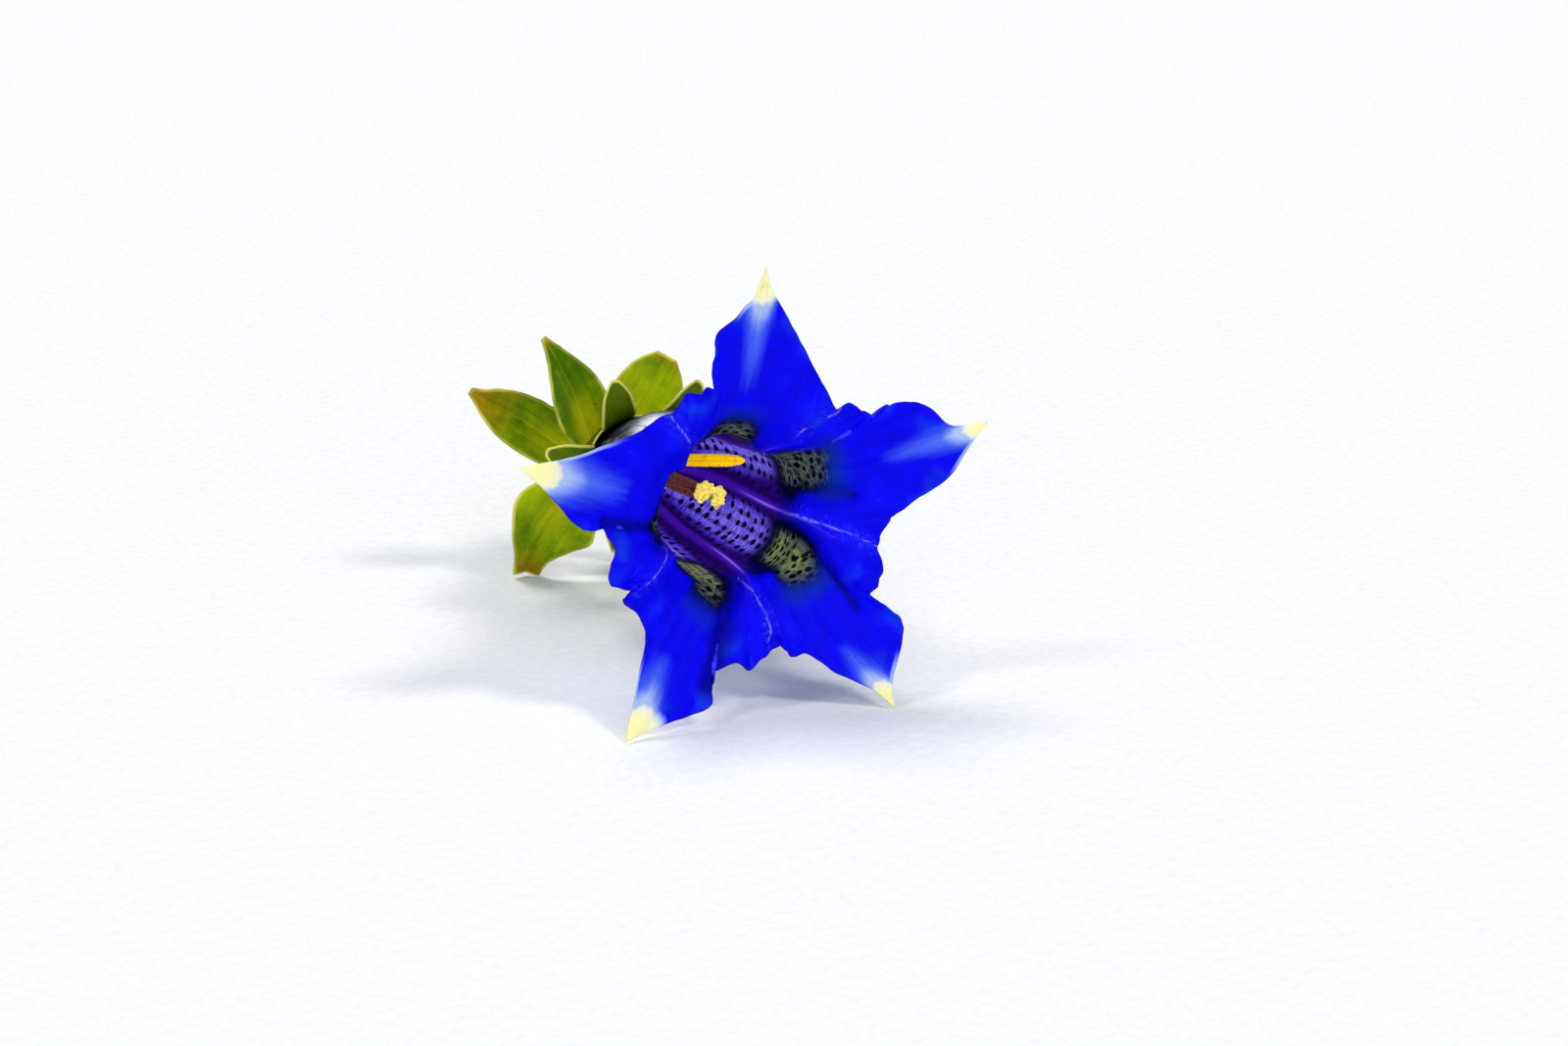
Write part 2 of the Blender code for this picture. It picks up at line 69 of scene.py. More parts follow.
# Depths of the ridges and of the lobes' channels, by position: 0 at the base, 1 at the throat, 2 at the rim.
RIDGE_DEPTHS = [
    (0.0, 0.05), (0.3, 0.6), (0.6, 1.15), (0.9, 1.5), (1.1, 1.0), (1.4, 0.4), (1.7, 0.15), (2.0, 0.05),
]
CHANNEL_DEPTHS = [(0.0, 0.0), (0.36, 0.15), (0.6, 0.5), (1.0, 0.7), (1.2, 0.7), (1.5, 0.35), (2.0, -0.1)]
# The rim waves in and out this far, and by this angle from each of the solid's columns to the next.
RIM_WAVE = 0.35
WAVE_STEP = 1.9
# The solid has two columns between rim points, and the sheet here has seven.
SOLID_SPLITS = 2
SPLITS = 7
# Rows up the narrow part of the tube, up its wide part, and out along the limb.
LOW_ROWS = (1.8, 20.0, 12)
HIGH_ROWS = (20.0, 38.5, 34)
LIMB_ROWS = 40

# Rim of the corolla as (azimuth, radius), anticlockwise as seen from the front. Each lobe also has the length
# of its cream tip and how far that leans anticlockwise, the length and width of the pale streak that runs
# from the tip towards the throat, and the side and length of the painted highlight along its rim. Last comes
# its spotted patch: how far that lies off the midline and beyond the throat, its half width and length, and
# how green it is, where the others are slate grey.
LOBES = [
    dict(
        throat=28.0, channel=1.0, ridge=0.45, cream=(3.0, 0.0), streak=(11.5, 2.8),
        rim_highlight=(-1, 7.0), patch=(0.4, -0.4, 2.9, 4.0, 0.3),
        notch=(-4.4, 15.6),
        rise=[(1.2, 18.0), (7.3, 21.5), (14.5, 24.3)],
        tip=(17.7, 26.3),
        fall=[(20.0, 23.0), (26.5, 21.8), (32.0, 20.2), (33.6, 18.4)],
        end=(34.0, 16.7),
        pleat=[(38.5, 16.3), (42.6, 15.8)],
    ),
    dict(
        throat=88.0, channel=0.9, ridge=0.5, cream=(4.3, 0.0), streak=(14.0, 2.7),
        rim_highlight=(1, 6.5), patch=(-0.3, -1.2, 2.6, 3.5, 0.4),
        notch=(45.5, 14.6),
        rise=[(60.4, 16.5), (76.0, 20.6), (82.4, 23.3), (83.8, 24.5)],
        tip=(84.7, 25.7),
        fall=[(85.4, 24.2), (86.6, 22.6), (91.8, 20.7), (96.7, 19.2), (98.4, 17.4)],
        end=(98.9, 13.6),
        pleat=[(101.7, 14.0), (105.5, 13.6), (110.0, 14.2), (120.0, 13.5)],
    ),
    dict(
        throat=174.0, channel=-0.3, ridge=0.45, cream=(5.2, 0.0), streak=(13.5, 5.2),
        rim_highlight=(-1, 13.0), patch=(0.0, -2.4, 2.9, 3.0, 0.2),
        notch=(130.1, 13.7),
        rise=[(143.6, 15.7), (153.2, 19.0), (158.6, 22.9)],
        tip=(160.5, 24.9),
        fall=[(164.4, 21.9), (170.1, 19.1), (175.0, 17.5), (176.6, 16.2)],
        end=(177.2, 14.5),
        pleat=[(184.6, 13.4), (193.5, 14.2), (199.4, 15.0), (203.2, 13.8)],
    ),
    dict(
        throat=247.0, channel=-0.1, ridge=0.6, cream=(4.2, 0.7), streak=(10.0, 4.0),
        rim_highlight=(-1, 9.0), patch=(0.6, -3.2, 2.0, 5.2, 0.7),
        notch=(206.0, 13.2),
        rise=[(209.0, 14.6), (216.0, 14.0), (224.3, 15.1), (230.7, 19.4)],
        tip=(234.5, 24.6),
        fall=[(240.3, 22.2), (248.2, 20.1), (254.4, 18.9), (255.4, 17.2)],
        end=(255.7, 15.4),
        pleat=[(263.7, 14.4), (269.9, 15.1), (276.0, 14.4)],
    ),
    dict(
        throat=320.0, channel=1.0, ridge=1.0, cream=(3.4, 0.0), streak=(8.5, 3.0),
        rim_highlight=(1, 6.0), patch=(0.2, -0.95, 2.3, 4.1, 1.0),
        notch=(285.0, 13.6),
        rise=[(287.5, 15.0), (293.3, 15.6), (297.5, 18.2), (303.2, 21.6)],
        tip=(305.1, 24.6),
        fall=[(307.9, 22.9), (314.8, 21.4), (322.0, 20.2), (324.4, 18.6)],
        end=(324.8, 15.9),
        pleat=[(331.0, 16.0), (337.5, 15.8), (345.0, 14.8)],
    ),
]
# The cream of a tip reaches further down the midline than down the sides.
CREAM_NARROWS = 0.6
# The pale streak is this share of its width at its far end. The painted highlight on a rim starts this far
# off the midline.
STREAK_FOOT = 0.35
RIM_HIGHLIGHT_START = 0.5
# Small teeth along the rim: depth on a pleat, share of it on a lobe, how soon they grow beside the lobe's
# tip, how far they reach in and out, and distance between them.
TOOTH_DEPTH = 0.42
LOBE_TOOTH_SHARE = 0.3
TOOTH_GROWTH = 3.0
TOOTH_RANGE = (-0.7, 0.3)
TOOTH_SPACING = 0.8
TOOTH_SEED = 4
# A patch's outline is between an oval and a box, and its field stops growing here.
PATCH_SQUARENESS = 3.0
OFF_PATCH = 9.0
# The throat's violet ends where a patch begins, but on the ridges it runs on, by distance from the crest.
VIOLET_ON_RIDGE = -0.4
RIDGE_REACH = (0.8, 2.6)
# The violet channel's dark sides: distance from the crest deep in the tube and at the throat, and where it
# grows.
CHANNEL_SIDES = (1.3, 2.5)
CHANNEL_GROWS = (-12.0, -5.0)
# Dark dots in the throat and on the patches: spacing across and along the lobe, sizes, and how loose the
# rows are.
DOT_ROWS = (1.25, 1.6)
DOT_SIZE = (0.82, 0.78)
PATCH_ROWS = (1.0, 0.85)
PATCH_DOT_SIZE = (0.86, 0.5)
DOT_JITTER = 0.55
# Lines that the folds of the bud have left, as (azimuth, radius) seen from the front: pale ones, and dark
# folds, which are grooves whose dark is painted shade and partly a darker pigment.
PALE_LINES = [
    [(-3.4, 7.1), (-9.7, 9.0), (-13.3, 12.0), (-17.0, 15.2)],
    [(-82.0, 7.45), (-80.7, 7.9), (-77.9, 9.3), (-76.8, 11.7), (-80.1, 12.9)],
    [(119.6, 9.6), (120.9, 11.4), (121.5, 13.2)],
    [(49.5, 10.6), (47.8, 12.2), (44.8, 14.1), (44.9, 15.2)],
    [(203.3, 7.6), (206.5, 9.0), (208.9, 10.6), (207.5, 12.5)],
]
DARK_FOLDS = [
    [(-16.0, 7.2), (-21.8, 7.9), (-32.5, 10.6), (-37.9, 13.2), (-41.5, 15.4)],
    [(-99.0, 7.6), (-101.1, 10.2), (-104.8, 14.9), (-106.3, 16.8)],
    [(15.0, 7.6), (9.0, 10.0), (5.0, 12.0)],
    [(174.6, 14.5), (176.7, 11.6), (180.8, 8.6)],
]
# How wide the painted shade of each fold is, in millimetres.
FOLD_SHADES = [0.8, 1.9, 0.9, 1.0]
FOLD_DEPTH = 0.55
FOLD_WIDTH = 0.9
# The lines start at this position, just inside the throat, and have this many steps for each of their
# points. Where there is no line, the distance to it is the last value.
LINES_START = 0.97
LINE_STEPS = 5
NO_LINE = 99.0
# The crest of each ridge between the channels is drawn up into a thin edge, by this share at each position.
CREST_HEIGHT = 0.12
CREST_WIDTH = 0.35
CREST_SHARES = [(0.45, 0.0), (0.7, 1.0), (1.0, 0.8), (1.4, 0.0)]
# The limb's ribs and crinkles begin at the throat and are full this far out.
LIMB_RAMP = 2.5
# Painted glow: the throat gives off a little light of its own, for light coming through the tube's wall.
THROAT_GLOW = 0.8
# Painted glow: the thin pale streaks give off a little light of their own, for daylight coming through them.
TUBE_GLOW = 0.45
# The petal is thinner at its rim than in its middle.
PETAL_WALL = 0.5
RIM_WALL_SHARE = 0.4
RIM_TAPER = 2.5


def smooth(knots, x):
    """The values at x of a smooth curve through (x, value) knots."""
    xs, values = np.array(knots, float).T
    slopes = np.gradient(values, xs)
    index = np.clip(np.searchsorted(xs, x) - 1, 0, len(xs) - 2)
    step = xs[index + 1] - xs[index]
    t = np.clip((x - xs[index]) / step, 0.0, 1.0)
    start = values[index] * (1 + 2 * t) * (1 - t) ** 2 + slopes[index] * step * t * (1 - t) ** 2
    stop = values[index + 1] * t * t * (3 - 2 * t) - slopes[index + 1] * step * t * t * (1 - t)
    return start + stop


def axis_line(height):
    """Points of the flower's bent line at these heights."""
    knots = np.array(AXIS_KNOTS)
    sideways = smooth(knots[:, [0, 1]], height)
    upwards = smooth(knots[:, [0, 2]], height)
    return np.stack([sideways, upwards, np.broadcast_to(height, np.shape(sideways))], axis=-1)


def around(azimuth, radius):
    """Steps of these lengths away from the flower's line, to these azimuths."""
    turn = np.radians(azimuth)
    return np.stack([radius * np.cos(turn), radius * np.sin(turn), 0 * radius * turn], axis=-1)


def lay(points):
    """Points of the standing flower in millimetres, as metres where the flower lies."""
    turn = np.array(Matrix.Rotation(math.radians(90.0 - MOUTH_LIFT), 3, "X"))
    return (points @ turn.T + np.array(BASE_PLACE)) * MM


def near_line(points, line):
    """Distance from each point to a line of points, and how far along the line its nearest place is."""
    starts = line[:-1]
    runs = line[1:] - starts
    lengths = np.linalg.norm(runs, axis=1)
    offsets = points[:, None, :] - starts[None]
    share = np.clip((offsets * runs).sum(2) / np.maximum(lengths**2, 1e-9), 0.0, 1.0)
    apart = np.linalg.norm(offsets - share[..., None] * runs, axis=2)
    nearest = apart.argmin(1)
    pick = np.arange(len(points))
    before = np.concatenate([[0.0], np.cumsum(lengths)])[nearest]
    return apart[pick, nearest], before + share[pick, nearest] * lengths[nearest]


def ridge_share(across):
    """How far a ridge stands up at this place across it, which runs from -1 to 1."""
    return (1 - abs(across) ** RIDGE_ROUNDNESS) / 2 + (1 + math.cos(math.pi * across)) / 4


def line_distance(azimuth, radius, position, lines, widths=None):
    """Distance to the nearest of these lines as seen from the front, for the points outside the throat.

    Where widths are given, each line's distance is counted in its own width.
    """
    flat = around(azimuth, radius)[..., :2].reshape(-1, 2)
    best = np.full(len(flat), NO_LINE)
    outside = position.reshape(-1) > LINES_START
    for line, width in zip(lines, widths or [1.0] * len(lines)):
        order = np.arange(len(line))
        steps = np.linspace(0, len(line) - 1, LINE_STEPS * len(line))
        azimuths, radii = (smooth(np.c_[order, values], steps) for values in zip(*line))
        bent = around(azimuths, radii)[:, :2]
        best[outside] = np.minimum(best[outside], near_line(flat[outside], bent)[0] / width)
    return best.reshape(radius.shape)


def rim_columns():
    """The columns round the corolla, and the numbers of its midline and crest columns."""
    columns = []
    midlines = []
    crests = []
    throats = [lobe["throat"] for lobe in LOBES]
    throats = [throats[-1] - 360.0, *throats, throats[0] + 360.0]
    for k, lobe in enumerate(LOBES):
        before, middle, after = throats[k:k + 3]
        right_crease = (before + middle) / 2 + RIDGE_HALF_ANGLE
        left_crease = (after + middle) / 2 - RIDGE_HALF_ANGLE
        next_notch = LOBES[(k + 1) % len(LOBES)]["notch"]
        pleat_corners = [lobe["end"], *lobe["pleat"], next_notch]
        stretches = {
            "rise": ([lobe["notch"], *lobe["rise"], lobe["tip"]], right_crease, middle, -1.0, 0.0),
            "fall": ([lobe["tip"], *lobe["fall"], lobe["end"]], middle, left_crease, 0.0, 1.0),
            "pleat": (pleat_corners, left_crease, left_crease + 2 * RIDGE_HALF_ANGLE, -1.0, 1.0),
        }
        for part, (corners, start, stop, first_across, last_across) in stretches.items():
            corners = np.array(corners)
            flat = around(corners[:, 0], corners[:, 1])
            order = np.arange(len(corners))
            steps = np.linspace(0, len(corners) - 1, (len(corners) - 1) * SPLITS + 1)
            x = smooth(np.c_[order, flat[:, 0]], steps)
            y = smooth(np.c_[order, flat[:, 1]], steps)
            run = np.concatenate([[0.0], np.cumsum(np.hypot(np.diff(x), np.diff(y)))])
            share = (run / run[-1])[:-1]
            across = first_across + (last_across - first_across) * share
            if part == "fall":
                midlines.append(len(columns))
            if part == "pleat":
                crests.append(len(columns) + int(np.abs(across).argmin()))
            throat = start + (stop - start) * share
            rim = np.degrees(np.arctan2(y[:-1], x[:-1]))
            rim = rim + 360.0 * np.round((throat - rim) / 360.0)
            for j in range(len(share)):
                wave = math.sin(WAVE_STEP * len(columns) * SOLID_SPLITS / SPLITS)
                if part == "pleat":
                    ridge, channel, tooth = lobe["ridge"] * ridge_share(across[j]), 0.0, 1.0
                else:
                    ridge, channel = 0.0, lobe["channel"] * (1 - across[j] ** 2)
                    tooth = LOBE_TOOTH_SHARE * min(1.0, TOOTH_GROWTH * abs(across[j]))
                    wave *= abs(across[j])
                columns.append((throat[j], rim[j], math.hypot(x[j], y[j]), ridge, channel, wave, tooth))
    return np.array(columns).T, midlines, crests


def toothed(rim, rim_radius, tooth):
    """The rim's radii with small teeth of random depth along it."""
    x, y, _ = around(rim, rim_radius).T
    run = np.cumsum(np.hypot(np.diff(x, append=x[0]), np.diff(y, append=y[0])))
    count = int(run[-1] / TOOTH_SPACING)
    teeth = np.random.default_rng(TOOTH_SEED).uniform(*TOOTH_RANGE, count + 1)
    teeth[-1] = teeth[0]
    return rim_radius + TOOTH_DEPTH * tooth * np.interp(run, np.linspace(0, run[-1], count + 1), teeth)


def corolla_points():
    """The corolla's grid of points, with their places on it, and the numbers of its midlines and crests."""
    (throat, rim, rim_radius, ridge, channel, wave, tooth), midlines, crests = rim_columns()
    rim_radius = toothed(rim, rim_radius, tooth)
    tube_heights = np.concatenate([np.linspace(*LOW_ROWS)[:-1], np.linspace(*HIGH_ROWS)])[:, None]
    limb_shares = np.linspace(0.0, 1.0, LIMB_ROWS)[:, None]
    every = np.ones_like(throat)
    limb_radii = THROAT_RADIUS + (rim_radius - THROAT_RADIUS) * limb_shares
    turned = np.minimum((limb_radii - THROAT_RADIUS) / (TURN_ENDS_AT - THROAT_RADIUS), 1.0)
    limb_azimuths = throat + (rim - throat) * (1 - (1 - turned) ** 2)
    radius = np.concatenate([smooth(TUBE_RADII, tube_heights) * every, limb_radii])
    azimuth = np.concatenate([throat * np.ones_like(tube_heights), limb_azimuths])
    height = np.concatenate([tube_heights * every, smooth(LIMB_HEIGHTS, limb_radii)])
    position = np.concatenate([tube_heights / THROAT_HEIGHT, 1.0 + limb_shares]) * every
    inwards = np.gradient(height, axis=0)
    forwards = np.gradient(radius, axis=0)
    steep = np.hypot(inwards, forwards)
    depth = ridge * smooth(RIDGE_DEPTHS, position) - channel * smooth(CHANNEL_DEPTHS, position)
    depth += wave * RIM_WAVE * np.maximum(position - 1.0, 0.0) ** 3
    depth -= FOLD_DEPTH * np.exp(-((line_distance(azimuth, radius, position, DARK_FOLDS) / FOLD_WIDTH) ** 2))
    crest_gap = np.abs((azimuth[:, :, None] - azimuth[:, crests][:, None, :] + 180.0) % 360.0 - 180.0).min(2)
    crest = np.exp(-((np.radians(crest_gap) * radius / CREST_WIDTH) ** 2))
    depth += CREST_HEIGHT * crest * np.interp(position, *zip(*CREST_SHARES))
    points = axis_line(height) + around(azimuth, radius - depth * inwards / steep)
    points[..., 2] += depth * forwards / steep
    return points, azimuth, radius, position, midlines, crests


def sheet_mesh(name, points, flat_map, fields, closed=False, kept=None):
    """A sheet through a grid of points, with a map in millimetres and named values at its points.

    The map holds a place for each point, or for each corner of each face where the sheet has a seam.
    """
    rows, columns = points.shape[:2]
    left = np.arange(columns if closed else columns - 1)
    right = (left + 1) % columns
    lower = columns * np.arange(rows - 1)[:, None]
    faces = np.stack([lower + left, lower + columns + left, lower + columns + right, lower + right], axis=-1)
    if flat_map.shape[:2] == (rows, columns) and flat_map.ndim == 3:
        flat_map = flat_map.reshape(-1, 2)[faces]
    if kept is not None:
        faces = faces[kept]
        flat_map = flat_map[kept]
    data = bpy.data.meshes.new(name)
    data.from_pydata(lay(points.reshape(-1, 3)).tolist(), [], faces.reshape(-1, 4).tolist())
    layer = data.uv_layers.new(name="flat_map")
    layer.uv.foreach_set("vector", flat_map.astype(np.float32).ravel())
    for field, values in fields.items():
        made = data.attributes.new(field, "FLOAT", "POINT")
        made.data.foreach_set("value", np.asarray(values, np.float32).ravel())
    data.shade_smooth()
    return data


def lobe_fields(lobe, points, middle, throat_row):
    """What the colours follow between the crests on both sides of a lobe, and the place on its flat map.

    The points are those columns alone, and middle is the number of the lobe's midline among them.
    """
    grid = points.shape[:2]
    cells = points.reshape(-1, 3)
    midline = points[:, middle]
    reach = np.linalg.norm(np.diff(midline, axis=0), axis=1).cumsum()
    at_throat = reach[throat_row - 1]
    apart, along = near_line(cells, midline)
    apart = apart.reshape(grid)
    across = apart * np.sign(np.arange(grid[1]) - middle)
    along = along.reshape(grid) - at_throat
    crest = np.minimum(*(near_line(cells, points[:, end])[0].reshape(grid) for end in (0, -1)))
    to_tip = np.linalg.norm(points - midline[-1], axis=2)
    cream_length, lean = lobe["cream"]
    streak_length, streak_width = lobe["streak"]
    fade = np.clip(1 - (reach[-1] - at_throat - along) / streak_length, 0.0, 1.0)
    narrow = np.clip(1 - apart / (streak_width * (STREAK_FOOT + (1 - STREAK_FOOT) * fade)), 0.0, 1.0)
    highlight_side, highlight_length = lobe["rim_highlight"]
    on_side = np.clip(highlight_side * across / RIM_HIGHLIGHT_START, 0.0, 1.0)
    patch_across, patch_along, patch_width, patch_length, greenness = lobe["patch"]
    patch = (np.abs(across - patch_across) / patch_width) ** PATCH_SQUARENESS
    patch += (np.maximum(along - patch_along, 0.0) / patch_length) ** PATCH_SQUARENESS
    violet_ends = np.interp(crest, RIDGE_REACH, (VIOLET_ON_RIDGE, patch_along - patch_length))
    fields = {
        "from_midline": apart,
        "along": along,
        "cream": (to_tip + CREAM_NARROWS * apart - lean * across) / cream_length,
        "streak": narrow * fade**0.5,
        "rim_highlight": on_side * np.clip(1 - to_tip / highlight_length, 0.0, 1.0),
        "patch": np.minimum(patch ** (1 / PATCH_SQUARENESS), OFF_PATCH),
        "green": greenness,
        "crest": crest,
        "channel": crest - np.interp(along, CHANNEL_GROWS, CHANNEL_SIDES),
        "beyond_violet": along - violet_ends,
    }
    return fields, np.stack([across, along], axis=-1)


def corolla_sheet():
    """The corolla's sheet, with its map, what its colours follow, and how thick its wall is at each point."""
    points, azimuth, radius, position, midlines, crests = corolla_points()
    rows, columns = radius.shape
    throat_row = int(np.abs(position[:, 0] - 1.0).argmin())
    flat_map = np.zeros((rows - 1, columns, 4, 2))
    fields = {}
    for k, lobe in enumerate(LOBES):
        first = crests[k - 1] - (columns if k == 0 else 0)
        domain = np.arange(first, crests[k] + 1) % columns
        found, place = lobe_fields(lobe, points[:, domain], midlines[k] - first, throat_row)
        for name, values in found.items():
            fields.setdefault(name, np.zeros((rows, columns)))[:, domain] = values
        corners = [place[:-1, :-1], place[1:, :-1], place[1:, 1:], place[:-1, 1:]]
        flat_map[:, domain[:-1]] = np.stack(corners, axis=2)
    steps = np.linalg.norm(np.diff(points, axis=0), axis=2).cumsum(0)
    from_base = np.concatenate([np.zeros((1, columns)), steps])
    fields["to_rim"] = from_base[-1] - from_base
    fields["pale_line"] = line_distance(azimuth, radius, position, PALE_LINES)
    fields["dark_fold"] = line_distance(azimuth, radius, position, DARK_FOLDS, FOLD_SHADES)
    fields["on_limb"] = np.clip(fields["along"] / LIMB_RAMP, 0.0, 1.0)
    data = sheet_mesh("corolla_petals", points, flat_map, fields, closed=True)
    return data, np.clip(fields["to_rim"] / RIM_TAPER, 0.0, 1.0).ravel()


class Tree:
    """A node tree, with short words for the nodes that the flower's finishes and reliefs are made of."""

    def __init__(self, tree):
        self.tree = tree

    def feed(self, socket, value):
        """Sets a socket to a number or a colour, or links it to another socket."""
        if isinstance(value, bpy.types.NodeSocket):
            self.tree.links.new(value, socket)
        else:
            socket.default_value = value

    def add(self, kind, sockets=(), **settings):
        """Adds a node with these settings, and feeds its numbered or named sockets."""
        made = self.tree.nodes.new(kind)
        for name, value in settings.items():
            setattr(made, name, value)
        for socket, value in dict(sockets).items():
            self.feed(made.inputs[socket], value)
        return made

    def sum(self, operation, *values):
        """One Math node."""
        return self.add("ShaderNodeMath", enumerate(values), operation=operation).outputs[0]

    def product(self, *values):
        """All the values multiplied."""
        result = values[0]
        for value in values[1:]:
            result = self.sum("MULTIPLY", result, value)
        return result

    def vector(self, operation, *values, output="Vector", **sockets):
        """One Vector Math node."""
        fed = {**dict(enumerate(values)), **sockets}
        return self.add("ShaderNodeVectorMath", fed, operation=operation).outputs[output]

    def band(self, value, low, high):
        """0 where the value is at low, 1 where it is at high, and a soft step between."""
        sockets = {0: value, 1: low, 2: high, 3: 0.0, 4: 1.0}
        node = self.add("ShaderNodeMapRange", sockets, interpolation_type="SMOOTHSTEP", clamp=True)
        return node.outputs[0]

    def blend(self, mask, first, second):
        """The first colour where the mask is 0 and the second where it is 1."""
        return self.add("ShaderNodeMix", {0: mask, 6: first, 7: second}, data_type="RGBA").outputs[2]

    def field(self, name):
        """One of the mesh's fields, as a Geometry Nodes tree or a material reads it."""
        if self.tree.type == "GEOMETRY":
            kind = "GeometryNodeInputNamedAttribute"
            return self.add(kind, {"Name": name}, data_type="FLOAT").outputs[0]
        return self.add("ShaderNodeAttribute", attribute_name=name).outputs["Fac"]

    def flat_place(self):
        """The place on the piece's own map, in millimetres."""
        return self.add("ShaderNodeUVMap", uv_map="flat_map").outputs[0]

    def object_place(self):
        """The place on the object, in metres."""
        return self.add("ShaderNodeTexCoord").outputs["Object"]

    def parts(self, place):
        """The sideways and lengthwise parts of a place on a flat map."""
        made = self.add("ShaderNodeSeparateXYZ", {0: place})
        return made.outputs[0], made.outputs[1]

    def frayed(self, value, noise, reach):
        """The value with its contours frayed by a noise."""
        return self.sum("MULTIPLY_ADD", self.sum("SUBTRACT", noise, 0.5), reach, value)

    def stretched(self, vector, x, y, z=1.0):
        """A place multiplied by a number each way, so that a noise there is finer across or along."""
        return self.vector("MULTIPLY", vector, (x, y, z))

    def noise(self, vector, scale, detail=2.0, roughness=0.5):
        """Soft noise from 0 to 1."""
        sockets = {"Vector": vector, "Scale": scale, "Detail": detail, "Roughness": roughness}
        return self.add("ShaderNodeTexNoise", sockets).outputs["Fac"]


def tint(red, green, blue):
    """A colour from its screen values out of 255."""
    parts = [part / 255 for part in (red, green, blue)]
    linear = [part / 12.92 if part <= 0.04045 else ((part + 0.055) / 1.055) ** 2.4 for part in parts]
    return (*linear, 1.0)


def new_material(name):
    """A material, its tree and its shader."""
    made = bpy.data.materials.new(name)
    made.use_nodes = True
    return made, Tree(made.node_tree), made.node_tree.nodes["Principled BSDF"]


def end_material(tree, shader, colour, roughness, gloss, height, bump, depth):
    """Puts a finish's colour, roughness, gloss and grain on its shader. The grain's depth is in metres."""
    tree.feed(shader.inputs["Base Color"], colour)
    tree.feed(shader.inputs["Roughness"], roughness)
    shader.inputs["Specular IOR Level"].default_value = gloss
    raised = tree.add("ShaderNodeBump", {"Strength": bump, "Distance": depth, "Height": height})
    tree.feed(shader.inputs["Normal"], raised.outputs[0])


def add_glow(tree, shader, colour, strength):
    """Makes a finish glow a little in this colour."""
    tree.feed(shader.inputs["Emission Color"], colour)
    shader.inputs["Emission Strength"].default_value = strength


def new_group(name, kind, inputs, outputs):
    """A node group with these named sockets and their kinds, its tree and what it is given."""
    group = bpy.data.node_groups.new(name, kind)
    for way, sockets in (("INPUT", inputs), ("OUTPUT", outputs)):
        for socket, socket_kind in sockets.items():
            group.interface.new_socket(socket, in_out=way, socket_type=f"NodeSocket{socket_kind}")
    tree = Tree(group)
    return group, tree, tree.add("NodeGroupInput").outputs


def new_relief(name, *sizes):
    """A Geometry Nodes group with named sizes."""
    inputs = {"Geometry": "Geometry", **dict.fromkeys(sizes, "Float"), "Finish": "Material"}
    return new_group(name, "GeometryNodeTree", inputs, {"Geometry": "Geometry"})


def end_relief(tree, geometry, finish):
    """Ends a Geometry Nodes tree: copies become real, and the finish is set."""
    real = tree.add("GeometryNodeRealizeInstances", {0: geometry}).outputs[0]
    dressed = tree.add("GeometryNodeSetMaterial", {"Geometry": real, "Material": finish}).outputs[0]
    tree.add("NodeGroupOutput", {0: dressed})


def moved(tree, geometry, direction, distance):
    """The geometry's points, moved this far along a direction."""
    offset = tree.vector("SCALE", direction, Scale=distance)
    return tree.add("GeometryNodeSetPosition", {"Geometry": geometry, "Offset": offset}).outputs[0]


def end_raised(tree, given, lift):
    """Ends a relief that lifts a sheet's points along its normals."""
    normal = tree.add("GeometryNodeInputNormal").outputs[0]
    end_relief(tree, moved(tree, given["Geometry"], normal, lift), given["Finish"])


def seeded_place(tree, given):
    """Each point's place, moved by the seed, so that a noise there differs from piece to piece."""
    return tree.vector("ADD", tree.add("GeometryNodeInputPosition").outputs[0], given["Seed"])


def grow(piece, group, sizes):
    """Puts a Geometry Nodes tree on a piece, with its inputs set by their identifiers."""
    modifier = piece.modifiers.new(group.name, "NODES")
    modifier.node_group = group
    for item in group.interface.items_tree:
        if item.in_out == "INPUT" and item.name in sizes:
            modifier[item.identifier] = sizes[item.name]


def new_object(name, data, *materials):
    """An object with this data and these materials in its slots."""
    for finish in materials:
        data.materials.append(finish)
    made = bpy.data.objects.new(name, data)
    bpy.context.scene.collection.objects.link(made)
    return made


def finish_mesh(piece, *materials):
    """Turns a piece's modifiers into plain mesh, and puts these materials in its slots."""
    bpy.context.view_layer.update()
    graph = bpy.context.evaluated_depsgraph_get()
    data = bpy.data.meshes.new_from_object(piece.evaluated_get(graph))
    data.name = piece.name
    piece.modifiers.clear()
    piece.data = data
    while len(data.materials) < len(materials):
        data.materials.append(None)
    for slot, finish in enumerate(materials):
        data.materials[slot] = finish


def add_wall(piece, thickness, shares, least):
    """A wall of this thickness in millimetres, thinner where the shares are small, down to the least one."""
    solid = piece.modifiers.new("Wall", "SOLIDIFY")
    solid.thickness = thickness * MM
    solid.offset = 0.0
    group = piece.vertex_groups.new(name="wall")
    for number, share in enumerate(shares):
        group.add([number], float(share), "REPLACE")
    solid.vertex_group = "wall"
    solid.thickness_vertex_group = least
    return solid


def two_faced(piece, relief, sizes, wall, front, back):
    """Finishes a sheet: its relief, then its wall, as (thickness, shares, least share), with its own back."""
    grow(piece, relief, {**sizes, "Finish": front})
    add_wall(piece, *wall).material_offset = 1
    finish_mesh(piece, front, back)


def belongs(piece, slot, *nodes):
    """Says what a finished piece rides on and which solids it stands for, and hides them; the slot is not
    used.
    """
    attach(piece, "root")
    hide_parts(*nodes)


